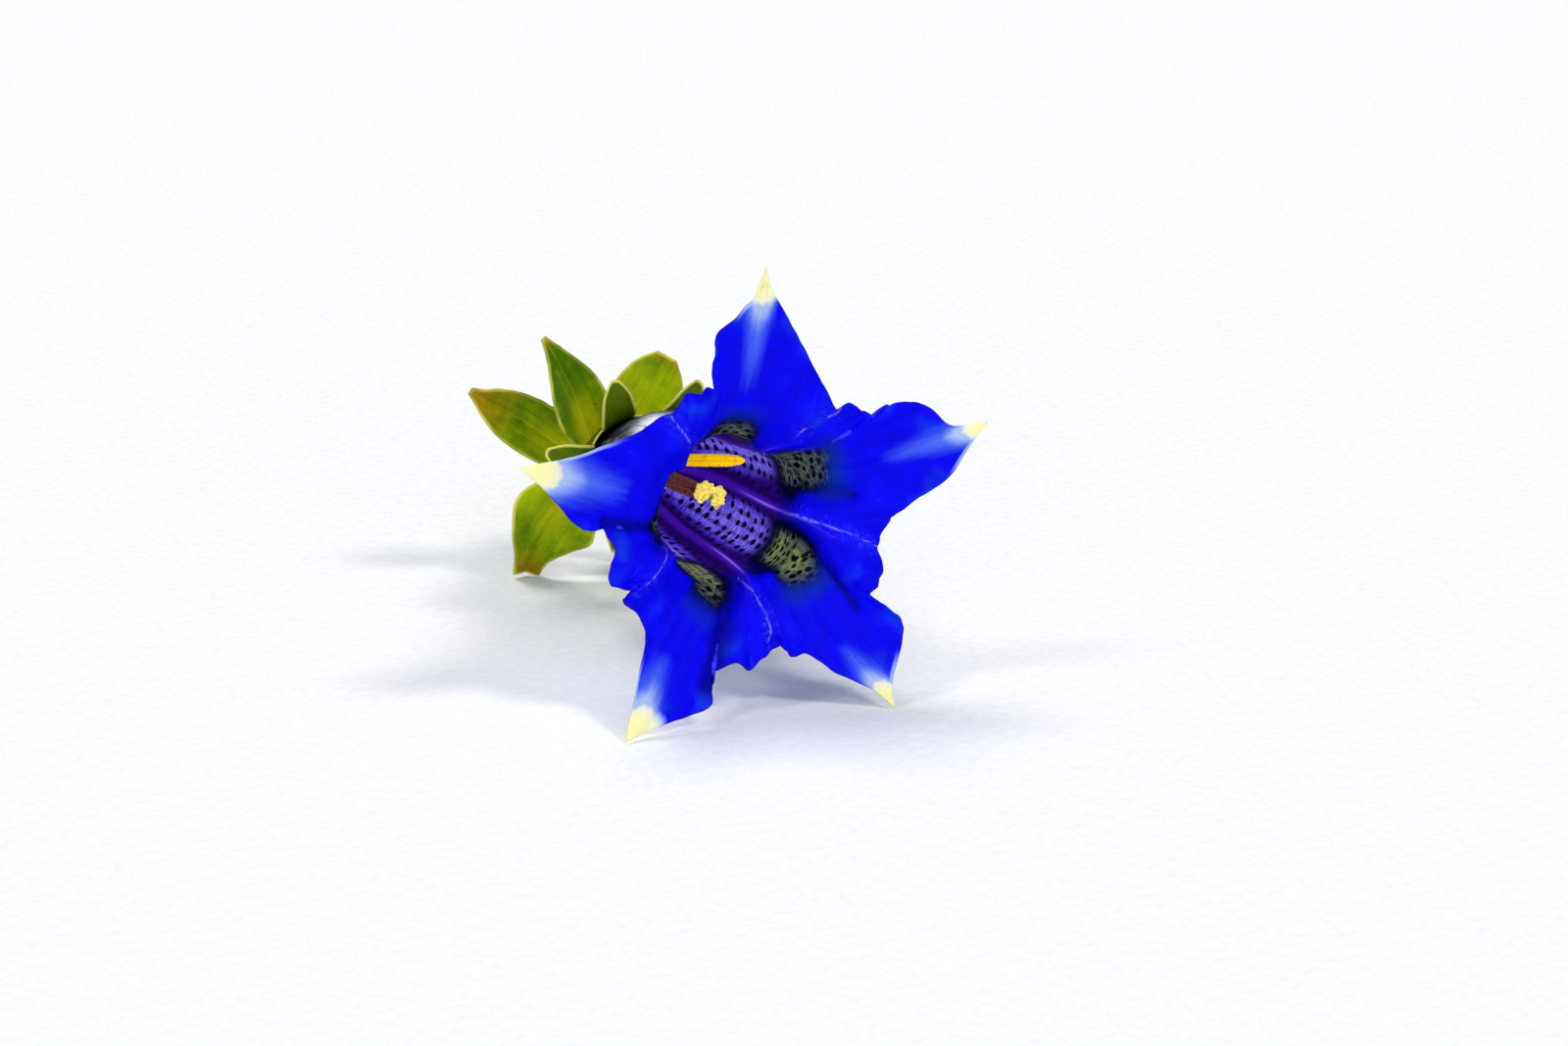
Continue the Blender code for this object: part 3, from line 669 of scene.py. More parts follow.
def plant_grain():
    """Fine cells and fibres that every soft part of the plant has, as a height, the fibres and a mottle."""
    inputs = {"Place": "Vector", "Fibres per mm": "Float", "Cells per mm": "Float"}
    outputs = {"Height": "Float", "Fibre": "Float", "Mottle": "Float"}
    group, tree, given = new_group("plant_grain", "ShaderNodeTree", inputs, outputs)
    long_way = tree.stretched(given["Place"], 1.0, 0.09)
    fibre = tree.noise(long_way, given["Fibres per mm"], 3.0, 0.6)
    cells = tree.noise(given["Place"], given["Cells per mm"], 2.0)
    mottle = tree.noise(given["Place"], 0.35, 4.0, 0.6)
    height = tree.sum("MULTIPLY_ADD", fibre, 0.7, tree.product(cells, 0.3))
    tree.add("NodeGroupOutput", {"Height": height, "Fibre": fibre, "Mottle": mottle})
    return group


PLANT_GRAIN = plant_grain()


def grained(tree, place, fibres, cells):
    """The plant grain in a material's tree, as its height, fibre and mottle."""
    sockets = {"Place": place, "Fibres per mm": fibres, "Cells per mm": cells}
    made = tree.add("ShaderNodeGroup", node_tree=PLANT_GRAIN)
    for name, value in sockets.items():
        tree.feed(made.inputs[name], value)
    return made.outputs["Height"], made.outputs["Fibre"], made.outputs["Mottle"]


def spots(tree, place, cell, spot, jitter):
    """Oval spots in loose rows: 1 inside a spot. Sizes are across and along the lobe, in millimetres."""
    cells = tree.stretched(place, 1 / cell[0], 1 / cell[1], 0.0)
    sockets = {"Vector": cells, "Scale": 1.0, "Randomness": jitter}
    pattern = tree.add("ShaderNodeTexVoronoi", sockets, voronoi_dimensions="2D")
    offset = tree.vector("SUBTRACT", cells, pattern.outputs["Position"])
    oval = tree.stretched(offset, 2 * cell[0] / spot[0], 2 * cell[1] / spot[1], 0.0)
    reach = tree.vector("LENGTH", oval, output="Value")
    size = tree.add("ShaderNodeSeparateColor", {0: pattern.outputs["Color"]}).outputs[0]
    outer = tree.sum("MULTIPLY_ADD", size, 0.4, 0.9)
    inner = tree.sum("MULTIPLY_ADD", size, 0.35, 0.5)
    return tree.band(reach, outer, inner)


# Colours of the petals' inside. A pair runs from the dark of a grain to its light.
BLACK = (0.0, 0.0, 0.0, 1.0)
PETAL_BLUES = (tint(0, 0, 208), tint(2, 1, 236))
WASHED_BLUE = tint(70, 70, 232)
COOL_BLUE = tint(24, 70, 214)
STREAK_BLUES = (tint(78, 112, 232), tint(172, 194, 230))
RIM_HIGHLIGHT_BLUE = tint(168, 190, 236)
RIM_VIOLET = tint(40, 0, 150)
# The cream comes in steps: where each starts and is full, how strong it is, and its colour.
CREAM_STEPS = [
    (1.16, 1.0, 0.8, tint(150, 176, 226)),
    (1.06, 0.86, 1.0, tint(230, 230, 208)),
    (0.95, 0.55, 1.0, tint(242, 240, 170)),
]
FOLD_LINE_BLUES = (tint(90, 90, 232), tint(150, 150, 236))
DARK_FOLD_BLUE = tint(0, 0, 66)
DEEP_VIOLETS = (tint(44, 14, 148), tint(96, 66, 236))
LILACS_AND_HIGHLIGHT = (tint(50, 26, 154), tint(132, 116, 230))
ROW_VIOLET = tint(26, 4, 92)
MOUTH_VIOLET = tint(40, 8, 140)
CHANNEL_VIOLET = tint(30, 5, 94)
DOT_VIOLET = tint(10, 0, 36)
COLLAR_VIOLET = tint(10, 4, 40)
RIDGE_VIOLETS = (tint(24, 1, 76), tint(54, 12, 140))
RIDGE_LINE_LILAC = tint(128, 100, 232)
THROAT_SHADE = tint(0, 0, 34)
HALO_BLUES = (tint(0, 0, 26), tint(2, 40, 142))
PATCH_GROUNDS = (tint(12, 15, 30), tint(72, 84, 62))
PATCH_STROKES = (tint(86, 94, 110), tint(144, 158, 88))
PATCH_HAIR = tint(160, 170, 140)
PATCH_DOT = tint(4, 4, 16)
PATCH_FOOT = tint(6, 5, 24)


def petal_blue(tree, place, fibre, mottle):
    """Blue with paler washes and streaks, a cream tip and a painted highlight along the rim, and the cream's
    field.
    """
    to_rim = tree.field("to_rim")
    colour = tree.blend(tree.band(mottle, 0.3, 0.7), *PETAL_BLUES)
    wash = tree.product(tree.band(mottle, 0.55, 0.8), tree.band(fibre, 0.45, 0.75), 0.3)
    colour = tree.blend(wash, colour, WASHED_BLUE)
    cool = tree.band(tree.noise(place, 0.2, 2.0), 0.46, 0.66)
    colour = tree.blend(tree.product(cool, tree.band(to_rim, 4.5, 0.6), 0.5), colour, COOL_BLUE)

    streak = tree.frayed(tree.field("streak"), fibre, 0.3)
    cream = tree.frayed(tree.frayed(tree.field("cream"), fibre, 0.16), mottle, 0.4)
    colour = tree.blend(tree.product(tree.band(streak, 0.0, 0.8), 0.95), colour, STREAK_BLUES[0])
    # Painted highlight: a pale line along one side of the rim, where its edge catches the light.
    rim_highlight = tree.product(tree.band(to_rim, 0.6, 0.2), tree.band(tree.field("rim_highlight"), 0.0, 0.35), 0.8)
    colour = tree.blend(rim_highlight, colour, RIM_HIGHLIGHT_BLUE)
    paler = tree.product(tree.band(streak, 0.15, 0.8), tree.band(cream, 1.75, 1.05))
    colour = tree.blend(paler, colour, STREAK_BLUES[1])
    for start, full, strength, cream_colour in CREAM_STEPS:
        colour = tree.blend(tree.product(tree.band(cream, start, full), strength), colour, cream_colour)
    return colour, cream


def fold_lines(tree, colour, place, fine_hairs):
    """The pale broken lines and the folds that the bud has left, with painted shade in the folds."""
    from_line = tree.field("pale_line")
    broken = tree.band(tree.noise(place, 1.1, 3.0), 0.35, 0.55)
    line = tree.product(tree.band(from_line, 0.17, 0.02), broken, 0.5)
    haze = tree.product(tree.band(from_line, 1.3, 0.1), tree.band(fine_hairs, 0.5, 0.72), 0.35)
    colour = tree.blend(haze, colour, FOLD_LINE_BLUES[0])
    colour = tree.blend(line, colour, FOLD_LINE_BLUES[1])
    # Painted shade in the folds' grooves, partly a darker pigment.
    fold = tree.product(tree.band(tree.field("dark_fold"), 1.1, 0.1), 0.65)
    return tree.blend(fold, colour, DARK_FOLD_BLUE)


def throat_violet(tree, place, mottle, hairs, beyond):
    """The throat: lilac with rows of dark dots, plain violet in the channels, and the dark ridges between."""
    across, along = tree.parts(place)
    crest = tree.field("crest")
    row_turn = tree.sum("MULTIPLY_ADD", across, 2 * math.pi / DOT_ROWS[0], -math.pi * DOT_JITTER)
    row_turn = tree.frayed(row_turn, tree.noise(place, 0.5, 1.0), 1.2)
    rows = tree.band(tree.sum("COSINE", row_turn), -0.1, 0.9)
    long_hairs = tree.noise(tree.stretched(place, 0.65, 3.6), 1.0, 4.0, 0.75)
    violet = tree.blend(tree.band(long_hairs, 0.36, 0.64), *DEEP_VIOLETS)
    # Lilac far from the ridges: partly the throat's own colour and partly a painted highlight on its walls.
    lit = tree.band(tree.frayed(crest, mottle, 1.6), 1.7, 3.4)
    lilac = tree.blend(tree.band(long_hairs, 0.34, 0.66), *LILACS_AND_HIGHLIGHT)
    violet = tree.blend(lit, violet, lilac)
    violet = tree.blend(tree.product(rows, tree.band(mottle, 0.25, 0.65), 0.66), violet, ROW_VIOLET)
    violet = tree.blend(tree.product(tree.band(along, -10.0, -3.0), 0.3), violet, MOUTH_VIOLET)
    channel = tree.frayed(tree.field("channel"), hairs, 0.9)
    violet = tree.blend(tree.band(channel, 1.5, -0.1), violet, CHANNEL_VIOLET)
    violet = tree.blend(spots(tree, place, DOT_ROWS, DOT_SIZE, DOT_JITTER), violet, DOT_VIOLET)
    collar = tree.band(tree.frayed(beyond, long_hairs, 2.6), -2.3, 0.0)
    violet = tree.blend(tree.product(collar, 0.94), violet, COLLAR_VIOLET)
    ridge = tree.blend(tree.band(crest, 0.7, 0.1), *RIDGE_VIOLETS)
    ridge_line = tree.product(tree.band(crest, 0.09, 0.02), tree.band(along, -12.0, -4.0), 0.7)
    ridge = tree.blend(ridge_line, ridge, RIDGE_LINE_LILAC)
    return tree.blend(tree.band(tree.frayed(crest, hairs, 0.5), 0.8, 1.5), ridge, violet)


def with_throat(tree, colour, place, mottle, hairs, beyond):
    """Shades the blue round the throat, and puts the throat's violet inside it."""
    along = tree.parts(place)[1]
    crest = tree.field("crest")
    mouth = tree.band(tree.frayed(along, mottle, 3.0), 1.6, -1.6)
    colour = tree.blend(tree.product(mouth, tree.band(crest, 0.4, 1.6), 0.85), colour, THROAT_SHADE)
    on_ridge = tree.band(crest, 2.2, 0.6)
    violet_fades = tree.sum("MULTIPLY_ADD", on_ridge, -2.8, -0.6)
    violet_stops = tree.sum("MULTIPLY_ADD", on_ridge, 1.9, 0.5)
    inside = tree.band(tree.frayed(beyond, mottle, 1.2), violet_stops, violet_fades)
    return tree.blend(inside, colour, throat_violet(tree, place, mottle, hairs, beyond))


def with_patch(tree, colour, place, hairs, fine_hairs, beyond):
    """A dark halo, and in it the lobe's grey or green patch with short hairs and dark dots."""
    along = tree.parts(place)[1]
    patch_field = tree.field("patch")
    patch = tree.frayed(patch_field, hairs, 0.6)
    outer = tree.band(along, 0.8, 4.4)
    halo = tree.blend(outer, *HALO_BLUES)
    halo_reach = tree.sum("MULTIPLY_ADD", outer, 0.45, 1.3)
    halo_reach = tree.sum("MULTIPLY_ADD", tree.band(along, 0.5, -3.5), 0.7, halo_reach)
    around_patch = tree.product(tree.band(patch, halo_reach, 0.95), tree.band(beyond, -0.4, 0.3))
    off_ridge = tree.sum("MAXIMUM", tree.band(tree.field("crest"), 0.7, 1.9), outer)
    colour = tree.blend(tree.product(around_patch, off_ridge), colour, halo)

    greener = tree.product(tree.band(patch_field, 0.95, 0.35), tree.field("green"))
    short_hairs = tree.noise(tree.stretched(place, 1.7, 5.5), 1.0, 2.0, 0.6)
    ground = tree.blend(greener, *PATCH_GROUNDS)
    stroke = tree.blend(greener, *PATCH_STROKES)
    green = tree.blend(tree.band(short_hairs, 0.3, 0.7), ground, stroke)
    green = tree.blend(tree.product(tree.band(fine_hairs, 0.6, 0.74), 0.5), green, PATCH_HAIR)
    green = tree.blend(spots(tree, place, PATCH_ROWS, PATCH_DOT_SIZE, DOT_JITTER), green, PATCH_DOT)
    foot = tree.band(tree.frayed(beyond, hairs, 1.8), 2.4, 0.4)
    green = tree.blend(tree.product(foot, 0.94), green, PATCH_FOOT)
    in_patch = tree.product(tree.band(patch, 1.08, 0.72), tree.band(beyond, -0.2, 0.4))
    return tree.blend(in_patch, colour, green)


def petal_inside():
    """The lobes' blue face with its cream tips, spotted patches and the violet throat."""
    made, tree, shader = new_material("petal_inside")
    place = tree.flat_place()
    height, fibre, mottle = grained(tree, place, 2.6, 5.0)
    hairs = tree.noise(tree.stretched(place, 0.8, 4.2), 1.0, 3.0, 0.7)
    fine_hairs = tree.noise(tree.stretched(place, 1.6, 8.0), 1.0, 2.0, 0.6)
    beyond = tree.field("beyond_violet")
    colour, cream = petal_blue(tree, place, fibre, mottle)
    colour = fold_lines(tree, colour, place, fine_hairs)
    colour = with_throat(tree, colour, place, mottle, hairs, beyond)
    colour = with_patch(tree, colour, place, hairs, fine_hairs, beyond)
    off_highlight = tree.band(tree.field("rim_highlight"), 0.2, 0.0)
    rim = tree.product(tree.band(tree.field("to_rim"), 0.3, 0.05), tree.band(cream, 1.0, 1.3), 0.4, off_highlight)
    colour = tree.blend(rim, colour, RIM_VIOLET)
    # Painted glow: inside the throat the finish gives off a little light in its own colour.
    glow = tree.band(tree.parts(place)[1], 0.0, -4.0)
    add_glow(tree, shader, tree.blend(glow, BLACK, colour), THROAT_GLOW)
    roughness = tree.sum("MULTIPLY_ADD", mottle, 0.2, 0.5)
    end_material(tree, shader, colour, roughness, gloss=0.05, height=height, bump=0.4, depth=0.25 * MM)
    return made


# Colours of the petals' outside.
BACK_BLUES = (tint(14, 14, 150), tint(40, 46, 215))
BACK_MIDLINE = tint(52, 78, 104)
BACK_CREAM = tint(240, 236, 176)
TUBE_SLATES = (tint(26, 28, 38), tint(96, 100, 104))
TUBE_THREAD = tint(226, 230, 244)
TUBE_MIDLINE = tint(34, 46, 40)
TUBE_FOOT = tint(150, 160, 96)


def petal_outside():
    """The tube's dark, pale-streaked outside and the duller backs of the lobes."""
    made, tree, shader = new_material("petal_outside")
    place = tree.flat_place()
    along = tree.parts(place)[1]
    height, fibre, mottle = grained(tree, place, 2.4, 5.0)
    back = tree.blend(tree.band(fibre, 0.35, 0.65), *BACK_BLUES)
    stripe = tree.frayed(tree.field("from_midline"), fibre, 2.6)
    back = tree.blend(tree.product(tree.band(stripe, 2.6, 0.6), 0.8), back, BACK_MIDLINE)
    back = tree.blend(tree.band(tree.field("cream"), 1.2, 0.85), back, BACK_CREAM)
    threads = tree.noise(tree.stretched(place, 3.0, 0.25), 1.0, 3.0, 0.65)
    slate = tree.blend(tree.band(threads, 0.35, 0.65), *TUBE_SLATES)
    whiter = tree.product(tree.band(along, -19.0, -12.0), tree.band(stripe, -0.4, 1.0))
    pale = tree.product(tree.band(threads, 0.3, 0.46), whiter, 0.94)
    slate = tree.blend(pale, slate, TUBE_THREAD)
    slate = tree.blend(tree.product(tree.band(stripe, 2.4, 0.8), 0.75), slate, TUBE_MIDLINE)
    slate = tree.blend(tree.band(along, -24.0, -34.0), slate, TUBE_FOOT)
    wander = tree.frayed(along, mottle, 6.0)
    colour = tree.blend(tree.band(wander, -5.0, 2.0), slate, back)
    # Painted glow in the tube's pale streaks.
    add_glow(tree, shader, tree.blend(pale, BLACK, colour), TUBE_GLOW)
    roughness = tree.sum("MULTIPLY_ADD", mottle, 0.2, 0.55)
    end_material(tree, shader, colour, roughness, gloss=0.1, height=height, bump=0.5, depth=0.25 * MM)
    return made


def petal_relief():
    """Radial ribs and soft crinkles, raised along the sheet's normals."""
    sizes = ("Rib Height", "Rib Spacing", "Crinkle Height", "Crinkles per Metre", "Seed")
    group, tree, given = new_relief("petal_relief", *sizes)
    limb = tree.field("on_limb")
    turns = tree.sum("DIVIDE", tree.product(tree.field("from_midline"), 2 * math.pi), given["Rib Spacing"])
    place = seeded_place(tree, given)
    wobble = tree.noise(place, 220.0)
    ribs = tree.sum("COSINE", tree.sum("MULTIPLY_ADD", wobble, 7.0, turns))
    crinkle = tree.sum("SUBTRACT", tree.noise(place, given["Crinkles per Metre"], 3.0), 0.5)
    near_rim = tree.band(tree.field("to_rim"), 7.0, 0.0)
    crinkled = tree.sum("MULTIPLY_ADD", near_rim, 0.8, 0.45)
    ribs_high = tree.product(ribs, given["Rib Height"], limb)
    crinkle_high = tree.product(crinkle, given["Crinkle Height"], crinkled, limb)
    end_raised(tree, given, tree.sum("ADD", ribs_high, crinkle_high))
    return group


PETAL_INSIDE = petal_inside()
PETAL_OUTSIDE = petal_outside()
PETAL_SIZES = {
    "Rib Height": 0.05 * MM,
    "Rib Spacing": 1.7,
    "Crinkle Height": 0.9 * MM,
    "Crinkles per Metre": 260.0,
    "Seed": 3.0,
}
corolla_data, petal_wall = corolla_sheet()
petals = new_object("corolla_petals", corolla_data, PETAL_INSIDE, PETAL_OUTSIDE)
petal_walls = (PETAL_WALL, petal_wall, RIM_WALL_SHARE)
two_faced(petals, petal_relief(), PETAL_SIZES, petal_walls, PETAL_INSIDE, PETAL_OUTSIDE)
belongs(petals, "petal", "corolla")

# Calyx. One green cup round the base of the tube, cut into five small leafy lobes that bend outwards. Its
# margins are thin and pale, and the cup is browner than its lobes.

CALYX_WALL = 0.5
# A green blade gets thinner over this distance from its margin, down to this share of its wall.
MARGIN_TAPER = 1.2
MARGIN_WALL_SHARE = 0.35
CALYX_FLOOR = 0.6
CALYX_RIM = 14.0
CALYX_RADII = [(0.6, 1.5), (1.2, 2.3), (6.0, 3.4), (10.0, 4.25), (14.0, 5.1)]
CALYX_LOBE_WIDTHS = [(0.0, 1.75), (0.3, 1.95), (0.6, 1.85), (0.85, 1.35), (1.0, 0.45)]
# Each lobe as (azimuth of its base, azimuth of its tip, length, angle from the flower's line at its tip).
CALYX_LOBES = [
    (48.0, 57.0, 6.6, 62.0),
    (112.0, 100.0, 5.8, 58.0),
    (172.0, 160.0, 6.2, 66.0),
    (243.0, 246.0, 6.0, 45.0),
    (315.0, 312.0, 6.2, 50.0),
]
CUP_ROWS = 26
LOBE_ROWS = 22
LOBE_COLUMNS = 24
GAP_COLUMNS = 12
# The lobe leaves the cup's round rim within this share of its length, and its sides are raised by this much.
LOBE_BLEND = 0.22
LOBE_HOLLOW = 0.35
# Where the place across a lobe, squared, is this, the raised sides leave the blade's own level.
LOBE_LEVEL = 0.4
# Stands for the distance to a margin that isn't near.
NO_MARGIN = 9.0


def calyx_lobe(lobe, share, across):
    """Points of one calyx lobe, share of the way to its tip and across from -1 to 1."""
    start, stop, length, lean = lobe
    azimuth = start + (stop - start) * share
    bend = np.radians(lean) * share
    spread = around(azimuth, length * share * np.sin(bend))
    sideways = around(azimuth + 90.0, across * smooth(CALYX_LOBE_WIDTHS, share))
    points = axis_line(CALYX_RIM) + around(start, smooth(CALYX_RADII, CALYX_RIM)) + spread + sideways
    points[..., 2] += length * share * np.cos(bend)
    hollow = LOBE_HOLLOW * np.clip(share / LOBE_BLEND, 0.0, 1.0) * (across**2 - LOBE_LEVEL)
    points -= around(azimuth, hollow * np.cos(bend))
    points[..., 2] += hollow * np.sin(bend)
    return points


def close_cup(data, columns):
    """Takes the loose points off the calyx and closes its cup with a floor. The floor's middle comes last."""
    cup = bmesh.new()
    cup.from_mesh(data)
    bmesh.ops.delete(cup, geom=[vert for vert in cup.verts if not vert.link_faces], context="VERTS")
    foot = cup.verts[:columns]
    floor = cup.verts.new(lay(axis_line(CALYX_FLOOR)))
    for j in range(columns):
        cup.faces.new((foot[j], foot[(j + 1) % columns], floor)).smooth = True
    cup.to_mesh(data)
    cup.free()


def calyx_sheet():
    """The calyx as one sheet, with the distance from its margin and the place along it."""
    rim_radius = smooth(CALYX_RADII, CALYX_RIM)
    half_angle = math.degrees(CALYX_LOBE_WIDTHS[0][1] / rim_radius)
    cup_heights = np.linspace(CALYX_RADII[1][0], CALYX_RIM, CUP_ROWS)[:, None]
    cup_radii = smooth(CALYX_RADII, cup_heights)
    shares = np.linspace(0.0, 1.0, LOBE_ROWS + 1)[1:, None]
    width = smooth(CALYX_LOBE_WIDTHS, shares)
    lobe_across = np.linspace(-1.0, 1.0, LOBE_COLUMNS + 1)[:-1]
    across = np.concatenate([lobe_across, np.ones(GAP_COLUMNS)])
    gap_shares = np.arange(GAP_COLUMNS) / GAP_COLUMNS
    on_gap = np.arange(len(across)) >= LOBE_COLUMNS
    blocks = []
    for k, lobe in enumerate(CALYX_LOBES):
        gap = (CALYX_LOBES[(k + 1) % len(CALYX_LOBES)][0] - lobe[0]) % 360.0 - 2 * half_angle
        on_lobe = lobe[0] + half_angle * lobe_across
        azimuth = np.concatenate([on_lobe, lobe[0] + half_angle + gap * gap_shares])
        cup = axis_line(cup_heights) + around(azimuth, cup_radii)
        step = cup[-1] - calyx_lobe(lobe, 0.0 * across, across)
        blade = calyx_lobe(lobe, shares * np.ones_like(across), across * np.ones_like(shares))
        blade += step * np.clip(1 - shares / LOBE_BLEND, 0.0, 1.0)[..., None]
        to_rim = np.where(on_gap, np.minimum(CALYX_RIM - cup_heights, NO_MARGIN), NO_MARGIN)
        to_tip = lobe[2] * (1 - shares)
        edge = np.concatenate([to_rim, np.minimum((1 - np.abs(across)) * width, to_tip)])
        along = np.concatenate([cup_heights, CALYX_RIM + lobe[2] * shares]) * np.ones_like(across)
        sideways = np.concatenate([np.radians(azimuth) * cup_radii, across * width])
        blocks.append((np.concatenate([cup, blade]), edge, along, sideways))
    points, edge, along, sideways = (np.concatenate(parts, axis=1) for parts in zip(*blocks))
    columns = points.shape[1]
    kept = np.ones((points.shape[0] - 1, columns), bool)
    kept[CUP_ROWS - 1:] = np.tile(~on_gap, len(CALYX_LOBES))
    flat_map = np.stack([sideways, along], axis=-1)
    data = sheet_mesh("calyx_cup", points, flat_map, {"edge": edge, "along": along}, closed=True, kept=kept)
    close_cup(data, columns)
    return data


def leafy_green(tree, greens, brown, darkens=0.0, painted_shading=0.0):
    """Fleshy green with fine veins and browner old places, darker towards its tip.

    Gives its grain's height, fibre and mottle, and its colour.
    """
    grain = grained(tree, tree.flat_place(), 1.7, 4.0)
    _, fibre, mottle = grain
    mixed = tree.frayed(tree.product(mottle, 0.55), fibre, 0.3)
    mixed = tree.sum("MULTIPLY_ADD", tree.sum("SUBTRACT", 0.42, tree.field("along")), darkens, mixed)
    # Painted light and shade: the whole green is made lighter or darker by this offset.
    mixed = tree.sum("ADD", mixed, painted_shading)
    colour = tree.blend(tree.band(mixed, -0.1, 0.56), *greens)
    return *grain, tree.blend(tree.product(tree.band(mottle, 0.55, 0.8), 0.25), colour, brown)


def end_green(tree, shader, colour, height, mottle):
    """Puts a leafy green's colour, gloss and grain on its shader."""
    roughness = tree.sum("MULTIPLY_ADD", mottle, 0.25, 0.4)
    end_material(tree, shader, colour, roughness, gloss=0.07, height=height, bump=0.6, depth=0.3 * MM)


# The calyx's colours.
CALYX_GREENS = (tint(44, 70, 0), tint(96, 118, 6))
CALYX_BROWN = tint(104, 80, 12)
CALYX_CUP_BROWN = tint(78, 58, 18)
CALYX_FOOT = tint(126, 142, 44)
CALYX_MARGIN = tint(220, 216, 104)


def calyx_finish():
    """Dark green, browner on the cup than on its lobes, yellower at its foot, with a thin pale margin."""
    made, tree, shader = new_material("calyx_green")
    height, fibre, mottle, colour = leafy_green(tree, CALYX_GREENS, CALYX_BROWN)
    along = tree.field("along")
    colour = tree.blend(tree.product(tree.band(along, 16.0, 12.0), 0.6), colour, CALYX_CUP_BROWN)
    colour = tree.blend(tree.band(along, 6.0, 1.0), colour, CALYX_FOOT)
    edge = tree.frayed(tree.field("edge"), fibre, 0.2)
    colour = tree.blend(tree.product(tree.band(edge, 0.34, 0.1), 0.9), colour, CALYX_MARGIN)
    end_green(tree, shader, colour, height, mottle)
    return made


CALYX_GREEN = calyx_finish()
calyx_data = calyx_sheet()
calyx = new_object("calyx_cup", calyx_data, CALYX_GREEN)
calyx_edge = np.zeros(len(calyx_data.vertices), np.float32)
calyx_data.attributes["edge"].data.foreach_get("value", calyx_edge)
calyx_wall = np.clip(calyx_edge / MARGIN_TAPER, 0.0, 1.0)
calyx_wall[-1] = 1.0
add_wall(calyx, CALYX_WALL, calyx_wall, MARGIN_WALL_SHARE)
finish_mesh(calyx, CALYX_GREEN)
belongs(calyx, "calyx", "calyx")

# Stem. A short green stalk with low ribs, nipped off below the lowest leaves, so that its end is torn and its
# pale pith shows. The leaf pairs and the calyx grow out of it.

STEM_RADIUS = 1.6
# The top is inside the foot of the calyx.
STEM_TOP = 1.0
STEM_CUT = -9.0
STEM_ROWS = 44
STEM_COLUMNS = 48
STEM_RIBS = 6
RIB_HEIGHT = 0.09
TORN_DEPTH = 0.25
TORN_SEED = 9
# The torn end's rings from its middle outwards, as (share of the radius, depth), and its ring's tearing.
PITH_RINGS = [(0.25, 0.35), (0.55, 0.3), (0.8, 0.12), (0.95, 0.0)]
# Corners sharper than this stay sharp.
SHARP_CORNER = 50.0
# Rings start from the side that faces this way, along which no line of rings runs.
RING_FACES = (0.13, 1.0, 0.0)
STEM_GREENS = (tint(92, 116, 24), tint(138, 156, 52))
STEM_BROWN = tint(120, 84, 44)
PITH = tint(214, 214, 150)


def ring_points(line, radii, columns, profile=None):
    """Rings of points round a line of points. The profile gives a share of the radius for each angle."""
    ahead = np.gradient(line, axis=0)
    ahead /= np.linalg.norm(ahead, axis=1)[:, None]
    side = np.cross(ahead, RING_FACES)
    side /= np.linalg.norm(side, axis=1)[:, None]
    up = np.cross(ahead, side)
    angle = np.linspace(0.0, 2 * math.pi, columns, endpoint=False)
    share = np.ones(columns) if profile is None else profile(angle)
    ring = side[:, None] * np.cos(angle)[:, None] + up[:, None] * np.sin(angle)[:, None]
    return line[:, None] + ring * (np.asarray(radii)[:, None] * share)[..., None]


def round_solid(name, points, fields):
    """A closed solid through rings of points, with both ends filled."""
    columns = points.shape[1]
    steps = np.linalg.norm(np.diff(points, axis=0), axis=2).cumsum(0)
    along = np.concatenate([np.zeros((1, columns)), steps])
    girth = np.linalg.norm(np.diff(points, axis=1, append=points[:, :1]), axis=2).mean(0).cumsum()
    flat_map = np.stack([np.broadcast_to(girth, along.shape), along], axis=-1)
    data = sheet_mesh(name, points, flat_map, fields, closed=True)
    solid = bmesh.new()
    solid.from_mesh(data)
    ends = [edge for edge in solid.edges if edge.is_boundary]
    filled = bmesh.ops.holes_fill(solid, edges=ends)["faces"]
    bmesh.ops.poke(solid, faces=filled)
    bmesh.ops.recalc_face_normals(solid, faces=solid.faces[:])
    solid.to_mesh(data)
    solid.free()
    data.shade_smooth()
    data.set_sharp_from_angle(angle=math.radians(SHARP_CORNER))
    return data


def stem_finish():
    """Ribbed green skin with brown places, and pale pith at the torn end."""
    made, tree, shader = new_material("stem_green")
    height, fibre, mottle = grained(tree, tree.flat_place(), 3.0, 5.0)
    colour = tree.blend(tree.band(fibre, 0.35, 0.65), *STEM_GREENS)
    colour = tree.blend(tree.product(tree.band(mottle, 0.48, 0.7), 0.5), colour, STEM_BROWN)
    colour = tree.blend(tree.band(tree.field("from_pith"), 0.97, 0.8), colour, PITH)
    end_green(tree, shader, colour, height, mottle)
    return made


def stem_ribs(angle):
    """The stem's radius round its ribs, as a share of its largest."""
    return 1 - RIB_HEIGHT / 2 + RIB_HEIGHT / 2 * np.cos(STEM_RIBS * angle)


def stem_solid():
    """The ribbed stem with its torn end."""
    heights = np.linspace(STEM_CUT, STEM_TOP, STEM_ROWS)
    torn = np.random.default_rng(TORN_SEED).uniform(-TORN_DEPTH, TORN_DEPTH, STEM_COLUMNS)
    points = ring_points(axis_line(heights), np.full(STEM_ROWS, STEM_RADIUS), STEM_COLUMNS, stem_ribs)
    points[0, :, 2] += torn
    middle = points[:1].mean(1, keepdims=True)
    caps = [middle + (points[:1] - middle) * share + (0.0, 0.0, depth) for share, depth in PITH_RINGS]
    points = np.concatenate([*caps, points])
    from_pith = np.ones(points.shape[:2])
    for ring, (share, _) in enumerate(PITH_RINGS):
        from_pith[ring] = share
    return round_solid("stem_stalk", points, {"from_pith": from_pith})


